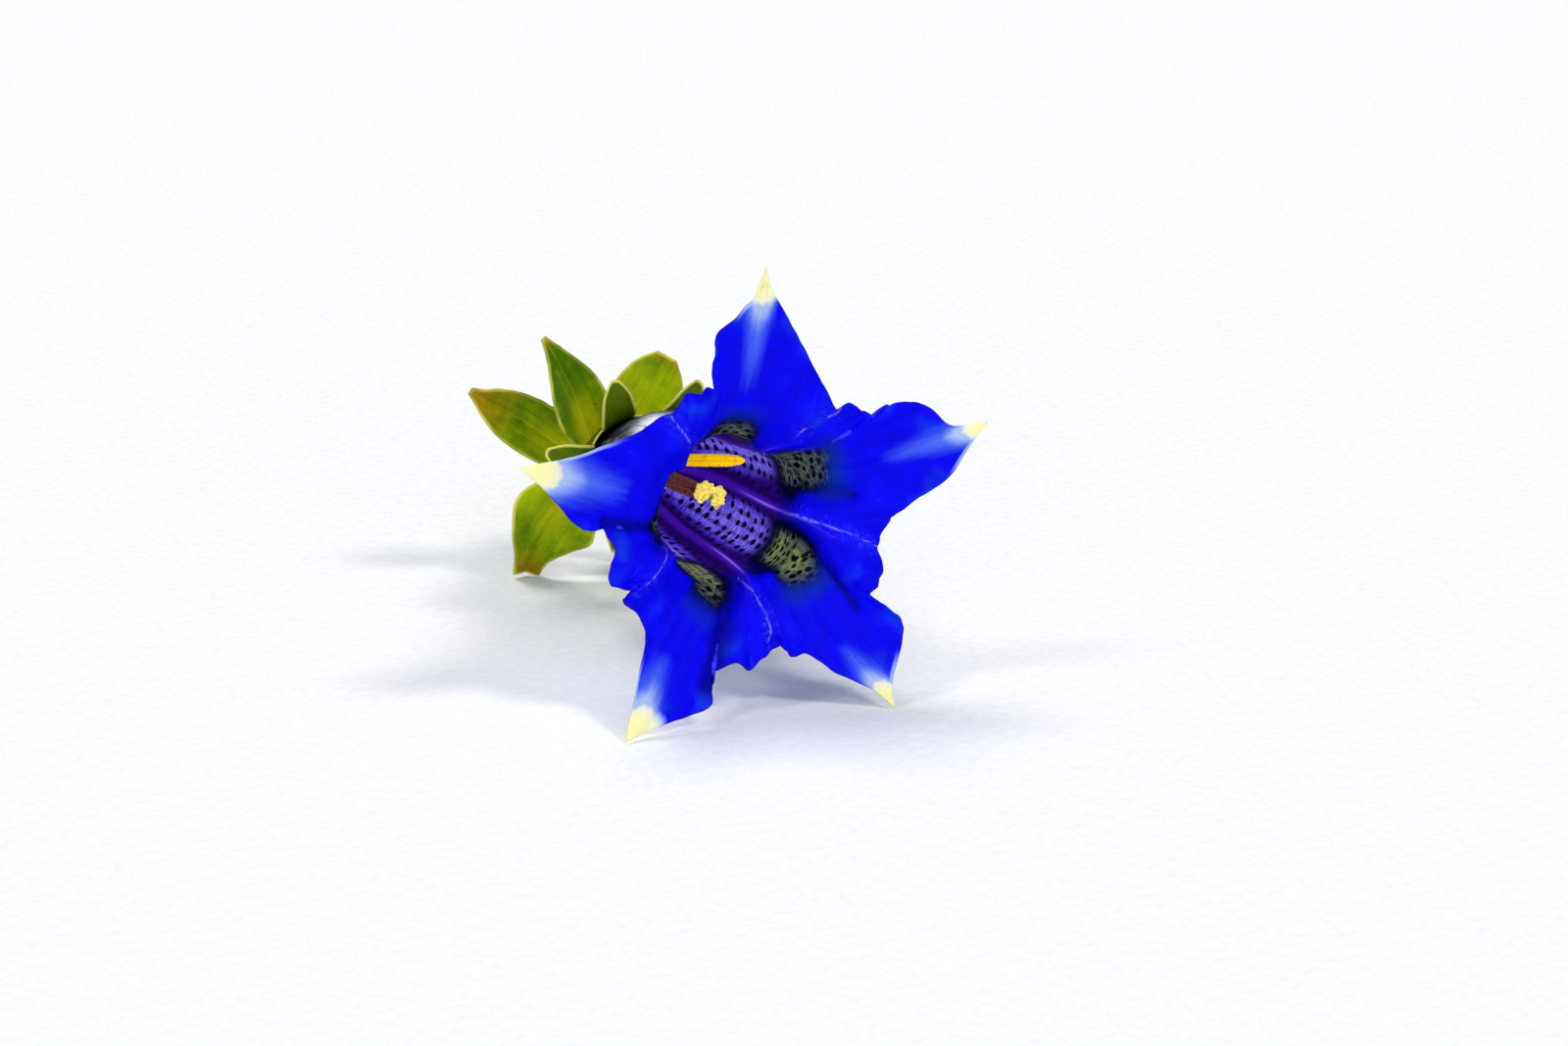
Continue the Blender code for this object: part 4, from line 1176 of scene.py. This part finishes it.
stem = new_object("stem_stalk", stem_solid(), stem_finish())
belongs(stem, "stem", "stem")

# Leaves. Three opposite pairs of fleshy, glossy blades, close together under the calyx, each grown from the
# stem by a broad foot. They are keeled along the midrib, and their thin margins are a little wavy and pale,
# partly a painted highlight.

LEAF_WALL = 0.5
# How much greener a leaf is at its tip than at its yellowish foot.
LEAF_DARKENS = 0.4
LEAF_SEAT = 0.5
# The lowest share of each blade narrows the gap to the stem, and its foot is sunk this deep into it. Its foot
# follows the stem's roundness as far out as this share of the stem's radius.
FOOT_SHARE = 0.13
FOOT_SUNK = 0.2
FOOT_REACH = 0.95
KEEL_ROUNDNESS = 1.5
SOLID_LEAF_ROWS = 10
LEAF_ROWS = 70
LEAF_COLUMNS = 36
# Half widths along each kind of leaf, as (share of the way to the tip, share of the largest).
LEAF_SHAPES = {
    "acute": [(0.0, 0.4), (0.15, 0.62), (0.4, 1.0), (0.62, 0.88), (0.85, 0.42), (1.0, 0.05)],
    "broad": [(0.0, 0.4), (0.2, 0.7), (0.5, 1.0), (0.75, 0.86), (0.9, 0.5), (1.0, 0.06)],
    "blunt": [(0.0, 0.45), (0.2, 0.7), (0.45, 0.95), (0.68, 1.0), (0.88, 0.72), (1.0, 0.3)],
    "waisted": [(0.0, 0.4), (0.2, 0.8), (0.42, 1.0), (0.62, 0.72), (0.8, 0.42), (1.0, 0.3)],
}
# Heading and rise are the leaf's directions at its base and at its tip, in degrees. Withered is how far the
# brown of the tip reaches down the blade, as a share of it. Painted shading makes a leaf darker below 0 and
# lighter above it: painted shade and painted light for how each leaf lies in the light.
LEAVES = [
    dict(height=-1.0, heading=(112, 119), rise=(32, 2), length=16.7, width=6.4,
         shape="acute", keel=0.28, roll=12, withered=0.1, painted_shading=-0.18),
    dict(height=-1.0, heading=(300, 294), rise=(12, -8), length=11.2, width=6.0,
         shape="acute", keel=0.25, roll=0, withered=0.1, painted_shading=0.0),
    dict(height=-3.2, heading=(66, 58), rise=(34, 6), length=14.0, width=7.8,
         shape="blunt", keel=0.22, roll=-6, withered=0.12, painted_shading=0.12),
    dict(height=-3.2, heading=(212, 264), rise=(8, -34), length=12.55, width=10.0,
         shape="waisted", keel=0.2, roll=4, withered=0.3, painted_shading=-0.05),
    dict(height=-5.6, heading=(136, 150), rise=(34, 6), length=19.3, width=6.2,
         shape="broad", keel=0.25, roll=-14, withered=0.4, painted_shading=-0.1),
    dict(height=-5.6, heading=(328, 332), rise=(24, -4), length=17.3, width=6.8,
         shape="broad", keel=0.25, roll=8, withered=0.15, painted_shading=0.0),
]
# Side veins on each half of a blade, and how far apart the leaves lie on their common grain.
VEINS = 2.25
LEAF_MAP_STEP = 20.0
LEAF_SIZES = {"Midrib Depth": 0.22 * MM, "Vein Depth": 0.05 * MM, "Margin Wave": 1.1 * MM}
# Colours of the leaves' upper and under sides: greens, and the yellow along the midrib.
UPPER_GREENS = (tint(70, 110, 0), tint(194, 216, 0))
UPPER_MIDRIB = tint(216, 214, 16)
UNDER_GREENS = (tint(110, 140, 16), tint(156, 178, 34))
UNDER_MIDRIB = tint(190, 196, 80)
LEAF_BROWN = tint(150, 128, 8)
WITHERED = tint(176, 130, 10)
LEAF_MARGIN_AND_HIGHLIGHT = tint(216, 212, 92)
LEAF_SPOT = tint(98, 66, 20)


def leaf_way(leaf, share):
    """The leaf's directions at these shares of its length: ahead, and sideways."""
    headings = np.interp(share, (0.0, 1.0), leaf["heading"])
    rises = np.radians(np.interp(share, (0.0, 1.0), leaf["rise"]))
    ahead = around(headings, np.cos(rises))
    ahead[:, 2] = np.sin(rises)
    return ahead, around(headings + 90.0, 1.0)


def leaf_points(leaf):
    """The leaf's grid of points, its half widths, and the places across and along it."""
    knots = np.linspace(0.0, 1.0, SOLID_LEAF_ROWS)
    coarse_ahead, _ = leaf_way(leaf, knots)
    step = leaf["length"] / (SOLID_LEAF_ROWS - 1)
    start = axis_line(leaf["height"]) + around(leaf["heading"][0], STEM_RADIUS + LEAF_SEAT)
    line = start + np.concatenate([np.zeros((1, 3)), coarse_ahead[:-1].cumsum(0) * step])
    share = np.linspace(0.0, 1.0, LEAF_ROWS)
    spine = np.stack([smooth(np.c_[knots, part], share) for part in line.T], axis=-1)
    ahead, side = leaf_way(leaf, share)
    up = np.cross(ahead, side)
    roll = np.radians(leaf["roll"]) * share[:, None]
    across_way = side * np.cos(roll) + up * np.sin(roll)
    above = up * np.cos(roll) - side * np.sin(roll)
    half = leaf["width"] / 2 * smooth(LEAF_SHAPES[leaf["shape"]], share)
    across = np.linspace(-1.0, 1.0, LEAF_COLUMNS + 1)
    lift = leaf["keel"] * half[:, None] * np.abs(across) ** KEEL_ROUNDNESS
    points = spine[:, None] + across_way[:, None] * (across * half[:, None])[..., None]
    sideways = np.minimum(np.abs(across) * half[:, None], FOOT_REACH * STEM_RADIUS)
    to_stem = STEM_RADIUS + LEAF_SEAT + FOOT_SUNK - np.sqrt(STEM_RADIUS**2 - sideways**2)
    grip = np.clip(1 - share / FOOT_SHARE, 0.0, 1.0)[:, None]
    points -= around(leaf["heading"][0], 1.0) * (grip * to_stem)[..., None]
    return points + above[:, None] * lift[..., None], half, across, share


def leaf_relief():
    """Sunk midrib and side veins, and a soft wave towards the margins."""
    group, tree, given = new_relief("leaf_relief", "Midrib Depth", "Vein Depth", "Margin Wave", "Seed")
    midrib = tree.product(tree.band(tree.field("from_midrib"), 0.7, 0.0), given["Midrib Depth"])
    veins = tree.sum("COSINE", tree.product(tree.field("across"), 2 * math.pi * VEINS))
    veins = tree.product(tree.band(veins, 0.7, 1.0), given["Vein Depth"])
    wave = tree.sum("SUBTRACT", tree.noise(seeded_place(tree, given), 260.0, 2.0), 0.5)
    outer = tree.band(tree.field("across"), 0.35, 1.0)
    wave = tree.product(wave, given["Margin Wave"], tree.sum("MULTIPLY_ADD", outer, 0.85, 0.15))
    end_raised(tree, given, tree.sum("SUBTRACT", tree.sum("SUBTRACT", wave, midrib), veins))
    return group


def leaf_finish(name, greens, midrib_colour):
    """Glossy leaf green, yellower along the midrib, with a pale margin, partly a painted highlight, and a
    withered tip.
    """
    made, tree, shader = new_material(name)
    height, _, mottle, colour = leafy_green(tree, greens, LEAF_BROWN, LEAF_DARKENS, tree.field("painted_shading"))
    from_midrib = tree.field("from_midrib")
    foot = tree.band(tree.field("along"), 0.72, 0.1)
    rib = tree.band(tree.frayed(from_midrib, mottle, 1.2), 2.2, 0.2)
    colour = tree.blend(tree.product(foot, rib, 0.8), colour, midrib_colour)
    colour = tree.blend(tree.product(tree.band(from_midrib, 0.3, 0.05), 0.22), colour, midrib_colour)
    wither = tree.frayed(tree.field("wither"), mottle, 0.9)
    colour = tree.blend(tree.product(tree.band(wither, 0.0, 1.0), 0.65), colour, WITHERED)
    edge = tree.frayed(tree.field("edge"), mottle, 0.2)
    place = tree.flat_place()
    paler = tree.sum("MULTIPLY_ADD", tree.band(tree.noise(place, 0.22, 1.0), 0.42, 0.6), 0.65, 0.3)
    # The pale margin is partly the leaf's own colour and partly a painted highlight along its edge.
    colour = tree.blend(tree.product(tree.band(edge, 0.4, 0.1), paler), colour, LEAF_MARGIN_AND_HIGHLIGHT)
    spot = tree.band(tree.noise(place, 0.9, 2.0), 0.71, 0.76)
    colour = tree.blend(tree.product(spot, 0.7), colour, LEAF_SPOT)
    end_green(tree, shader, colour, height, mottle)
    return made


LEAF_UPPER = leaf_finish("leaf_upper", UPPER_GREENS, UPPER_MIDRIB)
LEAF_UNDER = leaf_finish("leaf_under", UNDER_GREENS, UNDER_MIDRIB)
LEAF_RELIEF = leaf_relief()
for number, leaf in enumerate(LEAVES, 1):
    points, half, across, share = leaf_points(leaf)
    half, share = half[:, None], share[:, None]
    every = np.ones((LEAF_ROWS, LEAF_COLUMNS + 1))
    edge = np.minimum(half * (1 - np.abs(across)), leaf["length"] * (1 - share))
    fields = {
        "across": np.abs(across) * every,
        "along": share * every,
        "from_midrib": np.abs(across * half),
        "edge": edge,
        "wither": np.clip(1 - (1 - share) / leaf["withered"], -1.0, 1.0) * every,
        "painted_shading": leaf["painted_shading"] * every,
    }
    flat_map = np.stack([across * half + LEAF_MAP_STEP * number, leaf["length"] * share * every], axis=-1)
    leaf_data = sheet_mesh(f"leaf_blade_{number}", points, flat_map, fields)
    blade = new_object(f"leaf_blade_{number}", leaf_data, LEAF_UPPER, LEAF_UNDER)
    walls = (LEAF_WALL, np.clip(edge / MARGIN_TAPER, 0.0, 1.0).ravel(), MARGIN_WALL_SHARE)
    two_faced(blade, LEAF_RELIEF, {**LEAF_SIZES, "Seed": 7.0 * number}, walls, LEAF_UPPER, LEAF_UNDER)
    belongs(blade, "leaf", f"leaf_{number}")

# Stamens. Five threads that have grown to the tube's wall at their feet, each with a long anther of two
# pollen sacs. Four anthers close round the style, and one has come away and lies across the throat.

STAMEN_AZIMUTHS = [58.0, 131.0, 210.5, 283.5, 354.0]
FILAMENT_RADIUS = 0.3
FILAMENT_HEIGHTS = (7.0, 10.0, 13.0, 16.0)
FILAMENT_GAP = 0.6
ANTHER_RADIUS = 0.45
# The closed anthers stand in a ring of this radius round the style, between these heights.
ANTHER_RING = 0.76
ANTHER_FOOT = 22.5
ANTHER_TOP = 29.0
# Share of the anther's radius along it. Before its foot it grows out of the thread over this length.
ANTHER_SWELL = [(0.0, 0.6), (0.08, 0.95), (0.3, 1.0), (0.6, 1.0), (0.8, 0.9), (0.93, 0.66), (1.0, 0.3)]
ANTHER_START = 0.3
# The first stamen's anther is the loose one.
LOOSE_ANTHER_FOOT = (-0.9, 3.7, 27.5)
LOOSE_ANTHER_TOP = (3.4, 4.3, 34.3)
LOOSE_ANTHER_RADIUS = 0.65
STIGMA_HEIGHT = 31.3
STIGMA_PLACE = (0.72, 0.5)
STYLE_LEANS_FROM = 20.0
STAMEN_ROWS = 90
STAMEN_COLUMNS = 24
# Two furrows part the pollen sacs: their depth as a share of the radius, and how narrow they are.
SAC_FURROW = 0.3
SAC_FURROW_POWER = 8
POLLEN_SIZES = {"Grains per Area": 9.0e6, "Grain Radius": 0.07 * MM, "Sink": -0.02 * MM}
# Smallest and largest grain, as a share of the grain's radius.
GRAIN_SPREAD = (0.6, 1.25)
# The pollen's crumbs are this deep in its finish.
CRUMB_DEPTH = 0.1 * MM
# Painted glow: the anthers and the stigma give off a little light, for the throat's light on them from
# behind.
POLLEN_GLOW = 0.5
# Colours of the yellow and the brown anthers: sacs, their crumbs' gaps, the seam, and the thread.
YELLOWS = (tint(255, 216, 8), tint(255, 194, 2), tint(196, 116, 4), tint(222, 214, 190))
# The closed anthers' brown is partly their own colour and partly painted shade: a darker copy of the yellow
# finish.
SHADED_BROWNS = (tint(132, 76, 56), tint(70, 34, 42), tint(46, 14, 26), tint(214, 206, 190))


def style_line(height):
    """Points of the style: it leans off the flower's line towards the stigma."""
    top = axis_line(STIGMA_HEIGHT)
    lean = np.array([*STIGMA_PLACE, STIGMA_HEIGHT]) - top
    above = np.asarray(height, float) - STYLE_LEANS_FROM
    share = np.maximum(above / (STIGMA_HEIGHT - STYLE_LEANS_FROM), 0.0)
    return axis_line(height) + lean * share[..., None]


def stamen_solid(name, azimuth, loose):
    """A thread from the tube's wall to its anther, with the fields of its pollen and of its furrows."""
    if loose:
        foot, top, thick = np.array(LOOSE_ANTHER_FOOT), np.array(LOOSE_ANTHER_TOP), LOOSE_ANTHER_RADIUS
    else:
        foot, top = (style_line(end) + around(azimuth, ANTHER_RING) for end in (ANTHER_FOOT, ANTHER_TOP))
        thick = ANTHER_RADIUS
    heights = np.array(FILAMENT_HEIGHTS)
    wall = smooth(TUBE_RADII, heights) - smooth(RIDGE_DEPTHS, heights / THROAT_HEIGHT)
    thread = axis_line(heights) + around(azimuth, wall - FILAMENT_GAP - FILAMENT_RADIUS)
    thread = np.concatenate([thread, [(thread[-1] + foot) / 2]])
    swell = np.array(ANTHER_SWELL)
    knots = np.concatenate([thread, foot + (top - foot) * swell[:, :1]])
    radii = np.concatenate([np.full(len(thread), FILAMENT_RADIUS), thick * swell[:, 1]])
    run = np.concatenate([[0.0], np.linalg.norm(np.diff(knots, axis=0), axis=1).cumsum()])
    steps = np.linspace(0.0, run[-1], STAMEN_ROWS)
    line = np.stack([np.interp(steps, run, part) for part in knots.T], axis=-1)
    rings = ring_points(line, np.interp(steps, run, radii), STAMEN_COLUMNS)
    on_anther = np.clip((steps - run[len(thread)] + ANTHER_START) / ANTHER_START, 0.0, 1.0)[:, None]
    angle = np.linspace(0.0, 2 * math.pi, STAMEN_COLUMNS, endpoint=False)
    furrow = np.abs(np.cos(angle)) ** SAC_FURROW_POWER
    rings -= (rings - line[:, None]) * (SAC_FURROW * furrow * on_anther)[..., None]
    fields = {"grain": on_anther * np.ones(STAMEN_COLUMNS), "furrow": furrow * np.ones((STAMEN_ROWS, 1))}
    return round_solid(name, rings, fields)


def pollen_coat():
    """Small grains strewn over a surface where its own grain share is high."""
    group, tree, given = new_relief("pollen_coat", "Grains per Area", "Grain Radius", "Sink", "Seed")
    density = tree.product(given["Grains per Area"], tree.field("grain"))
    seed = tree.add("FunctionNodeFloatToInt", {0: given["Seed"]}).outputs[0]
    sockets = {"Mesh": given["Geometry"], "Density": density, "Seed": seed}
    strewn = tree.add("GeometryNodeDistributePointsOnFaces", sockets).outputs
    points = moved(tree, strewn["Points"], strewn["Normal"], given["Sink"])
    sockets = {"Radius": given["Grain Radius"], "Subdivisions": 1}
    grain = tree.add("GeometryNodeMeshIcoSphere", sockets).outputs[0]
    sockets = {2: GRAIN_SPREAD[0], 3: GRAIN_SPREAD[1], "Seed": seed}
    size = tree.add("FunctionNodeRandomValue", sockets, data_type="FLOAT").outputs[1]
    sockets = {"Points": points, "Instance": grain, "Scale": size}
    copies = tree.add("GeometryNodeInstanceOnPoints", sockets).outputs[0]
    joined = tree.add("GeometryNodeJoinGeometry")
    for geometry in (copies, given["Geometry"]):
        tree.feed(joined.inputs[0], geometry)
    end_relief(tree, joined.outputs[0], given["Finish"])
    return group


def end_pollen(tree, shader, colour, crumbs, roughness, gloss):
    """Puts a crumbly pollen finish with a painted glow on its shader."""
    add_glow(tree, shader, colour, POLLEN_GLOW)
    rough = tree.sum("MULTIPLY_ADD", crumbs, 0.3, roughness)
    end_material(tree, shader, colour, rough, gloss, height=crumbs, bump=0.6, depth=CRUMB_DEPTH)


def anther_finish(name, sac, sac_gap, seam, thread):
    """Crumbly pollen sacs with a darker seam, on a pale thread."""
    made, tree, shader = new_material(name)
    place = tree.object_place()
    crumbs = tree.noise(place, 5200.0, 3.0, 0.6)
    blotches = tree.band(tree.noise(place, 1100.0, 2.0), 0.54, 0.7)
    colour = tree.blend(tree.band(crumbs, 0.35, 0.65), sac_gap, sac)
    colour = tree.blend(tree.product(blotches, 0.6), colour, seam)
    colour = tree.blend(tree.product(tree.band(tree.field("furrow"), 0.8, 0.98), 0.5), colour, seam)
    colour = tree.blend(tree.field("grain"), thread, colour)
    end_pollen(tree, shader, colour, crumbs, roughness=0.5, gloss=0.2)
    return made


YELLOW_ANTHER = anther_finish("anther_yellow", *YELLOWS)
SHADED_BROWN_ANTHER = anther_finish("anther_brown_shaded", *SHADED_BROWNS)
POLLEN_COAT = pollen_coat()
for number, azimuth in enumerate(STAMEN_AZIMUTHS, 1):
    loose = number == 1
    # The closed anthers take the brown finish, partly painted shade.
    anther_colour = YELLOW_ANTHER if loose else SHADED_BROWN_ANTHER
    stamen_data = stamen_solid(f"stamen_thread_{number}", azimuth, loose)
    stamen = new_object(f"stamen_thread_{number}", stamen_data, anther_colour)
    grow(stamen, POLLEN_COAT, {**POLLEN_SIZES, "Seed": 5.0 * number, "Finish": anther_colour})
    finish_mesh(stamen, anther_colour)
    belongs(stamen, "anther", f"stamen_{number}")

# Pistil. A spindle-shaped ovary on a short stalk, a slim style, and at its end a stigma of two round fans
# with frilled edges. The fans' faces are crowded with tiny wax-yellow warts that catch the pollen.

PISTIL_RADII = [
    (1.3, 0.6), (4.0, 0.65), (8.0, 1.1), (12.0, 1.45), (16.0, 1.0), (20.0, 0.5), (23.0, 0.38), (31.0, 0.38),
]
PISTIL_ROWS = 80
PISTIL_COLUMNS = 24
# Each fan's half width and half length, how far its middle is from the stigma's, and how it is turned.
FAN_SIZE = (0.95, 1.12)
FAN_SPREAD = 0.7
FAN_TILT = -26.0
FAN_THICKNESS = 0.34
# The fans' outer sides are bent back by this slope, and their rims stay broad by this power.
FAN_SLOPE = 0.18
FAN_FULLNESS = 0.6
# Frills round each fan: their number, the shares that they and the finer ones between them add, and how
# high they ruffle it.
FAN_FRILLS = 7
FRILL_SHARES = (0.09, 0.04)
RUFFLE_HEIGHT = 0.16
# Where the fans meet below, each has this much less reach around this angle.
NOTCH_ANGLE = 235.0
NOTCH_DEPTH = 0.4
NOTCH_WIDTH = 32.0
# The green slit between the fans: shares across and along, and how far below the middle it lies.
SLIT_SHARES = (1.3, 0.5)
SLIT_DROP = 0.45
FAN_RINGS = 14
FAN_COLUMNS = 72
WART_SIZES = {"Grains per Area": 4.5e7, "Grain Radius": 0.085 * MM, "Sink": 0.02 * MM}
WART_YELLOWS = (tint(196, 160, 54), tint(236, 224, 116))
SLIT_GREEN = tint(96, 104, 24)
STYLE_GREENS = (tint(132, 150, 70), tint(176, 184, 104))
STYLE_RED = tint(150, 92, 62)


def fan_solid(name, side):
    """One round, frilled fan of the stigma, as rings that grow from its back and close on its front."""
    angle = np.linspace(0.0, 2 * math.pi, FAN_COLUMNS, endpoint=False)
    rise = np.linspace(0.0, math.pi, FAN_RINGS + 2)[1:-1, None]
    coarse, fine = FRILL_SHARES
    frill = 1 + coarse * np.cos(FAN_FRILLS * angle + side) + fine * np.cos(3 * FAN_FRILLS * angle)
    notch_at = math.radians(NOTCH_ANGLE if side > 0 else (180.0 - NOTCH_ANGLE) % 360.0)
    frill -= NOTCH_DEPTH * np.exp(-(((angle - notch_at) / math.radians(NOTCH_WIDTH)) ** 2))
    spread = np.sin(rise) ** FAN_FULLNESS
    across = side * FAN_SPREAD + FAN_SIZE[0] * spread * frill * np.cos(angle)
    along = FAN_SIZE[1] * spread * frill * np.sin(angle)
    ruffle = RUFFLE_HEIGHT * np.cos(FAN_FRILLS * angle + 2 * side) * spread**3
    depth = -FAN_THICKNESS * np.cos(rise) + ruffle - FAN_SLOPE * side * across
    tilt = math.radians(FAN_TILT)
    x = STIGMA_PLACE[0] + across * math.cos(tilt) - along * math.sin(tilt)
    y = STIGMA_PLACE[1] + across * math.sin(tilt) + along * math.cos(tilt)
    from_slit = np.hypot(SLIT_SHARES[0] * across, SLIT_SHARES[1] * (along + SLIT_DROP))
    points = np.stack([x, y, STIGMA_HEIGHT + depth], axis=-1)
    return round_solid(name, points, {"grain": np.ones(points.shape[:2]), "centre": from_slit})


def stigma_finish():
    """Wax-yellow warts with darker gaps, and a green slit between the two fans."""
    made, tree, shader = new_material("stigma_yellow")
    crumbs = tree.noise(tree.object_place(), 4200.0, 3.0, 0.6)
    colour = tree.blend(tree.band(crumbs, 0.32, 0.6), *WART_YELLOWS)
    colour = tree.blend(tree.band(tree.field("centre"), 0.5, 0.12), colour, SLIT_GREEN)
    end_pollen(tree, shader, colour, crumbs, roughness=0.45, gloss=0.25)
    return made


def style_finish():
    """Smooth style flesh: green at the ovary and brownish red towards the stigma."""
    made, tree, shader = new_material("style_flesh")
    height, fibre, mottle = grained(tree, tree.flat_place(), 3.0, 5.0)
    colour = tree.blend(tree.band(fibre, 0.3, 0.7), *STYLE_GREENS)
    colour = tree.blend(tree.band(tree.field("along"), 18.0, 24.0), colour, STYLE_RED)
    end_green(tree, shader, colour, height, mottle)
    return made


heights = np.linspace(PISTIL_RADII[0][0], PISTIL_RADII[-1][0], PISTIL_ROWS)
pistil_rings = ring_points(style_line(heights), smooth(PISTIL_RADII, heights), PISTIL_COLUMNS)
pistil_data = round_solid("pistil_style", pistil_rings, {"along": heights[:, None] * np.ones(PISTIL_COLUMNS)})
style = new_object("pistil_style", pistil_data, style_finish())
belongs(style, "pistil", "pistil")

STIGMA_YELLOW = stigma_finish()
for side, fan_name in ((-1, "stigma_fan_left"), (1, "stigma_fan_right")):
    fan = new_object(fan_name, fan_solid(fan_name, side), STIGMA_YELLOW)
    grow(fan, POLLEN_COAT, {**WART_SIZES, "Seed": 11.0 + side, "Finish": STIGMA_YELLOW})
    finish_mesh(fan, STIGMA_YELLOW)
    belongs(fan, "pistil", "pistil")

# Floor, light and camera. A sheet of white paper under the flower, sunlight from the front right, weaker
# light from the left, a broad light from above and behind, a low soft window in front, and the photograph's
# own view.

FLOOR_HALF = 4000.0
PAPER_WHITES = (tint(236, 238, 242), tint(244, 245, 248))
VIEW_TARGET = (1.89, -27.52, 20.56)
VIEW_AZIMUTH = -20.0
VIEW_ELEVATION = 18.0
VIEW_DISTANCE = 363.0
LENS = 85.0
SENSOR_WIDTH = 36.0
NEAREST_SEEN = 10.0
# Each light as (name, azimuth, elevation, width of its disk, strength, colour), in degrees and W/m2.
LIGHTS = [
    ("main_light", 36.0, 47.5, 12.0, 1.2, (1.0, 0.96, 0.84)),
    ("left_light", -81.0, 49.7, 14.0, 0.65, (1.0, 0.97, 0.9)),
    ("top_light", -147.0, 65.0, 24.0, 1.5, (1.0, 0.97, 0.91)),
    ("window_light", -14.0, 16.0, 60.0, 1.6, (0.98, 0.97, 1.0)),
]
ROOM_COLOUR = (0.52, 0.68, 1.0)
ROOM_STRENGTH = 0.2


def paper_finish():
    """White paper with a faint felt grain."""
    made, tree, shader = new_material("paper")
    grain = tree.noise(tree.object_place(), 900.0, 4.0, 0.6)
    colour = tree.blend(tree.band(grain, 0.3, 0.7), *PAPER_WHITES)
    end_material(tree, shader, colour, 0.9, gloss=0.1, height=grain, bump=0.22, depth=0.2 * MM)
    return made


def add_floor():
    """The sheet of paper, far wider than the view."""
    sheet = bmesh.new()
    bmesh.ops.create_grid(sheet, x_segments=1, y_segments=1, size=FLOOR_HALF * MM)
    data = bpy.data.meshes.new("floor")
    sheet.to_mesh(data)
    sheet.free()
    new_object("floor", data, paper_finish())


def away(azimuth, elevation):
    """The direction from the flower to something that stands at this azimuth and elevation."""
    turn = math.radians(azimuth)
    rise = math.radians(elevation)
    return Vector((math.sin(turn) * math.cos(rise), -math.cos(turn) * math.cos(rise), math.sin(rise)))


def add_light(name, azimuth, elevation, softness, strength, colour):
    """A far light whose disk is this many degrees wide."""
    lamp = bpy.data.lights.new(name, "SUN")
    lamp.angle = math.radians(softness)
    lamp.energy = strength
    lamp.color = colour
    made = new_object(name, lamp)
    made.location = away(azimuth, elevation)
    made.rotation_euler = made.location.to_track_quat("Z", "Y").to_euler()


def add_camera():
    """The camera, at the photograph's place and angle."""
    lens = bpy.data.cameras.new("camera")
    lens.lens = LENS
    lens.sensor_width = SENSOR_WIDTH
    lens.clip_start = NEAREST_SEEN * MM
    made = new_object("camera", lens)
    toward = away(VIEW_AZIMUTH, VIEW_ELEVATION)
    made.location = (Vector(VIEW_TARGET) + toward * VIEW_DISTANCE) * MM
    made.rotation_euler = toward.to_track_quat("Z", "Y").to_euler()
    bpy.context.scene.camera = made


def add_room():
    """The pale blue light that comes from all sides."""
    world = bpy.data.worlds.new("soft_room")
    world.use_nodes = True
    background = world.node_tree.nodes["Background"]
    background.inputs["Color"].default_value = (*ROOM_COLOUR, 1.0)
    background.inputs["Strength"].default_value = ROOM_STRENGTH
    bpy.context.scene.world = world


add_floor()
for light in LIGHTS:
    add_light(*light)
add_camera()
add_room()
bpy.context.scene.view_settings.view_transform = "Standard"
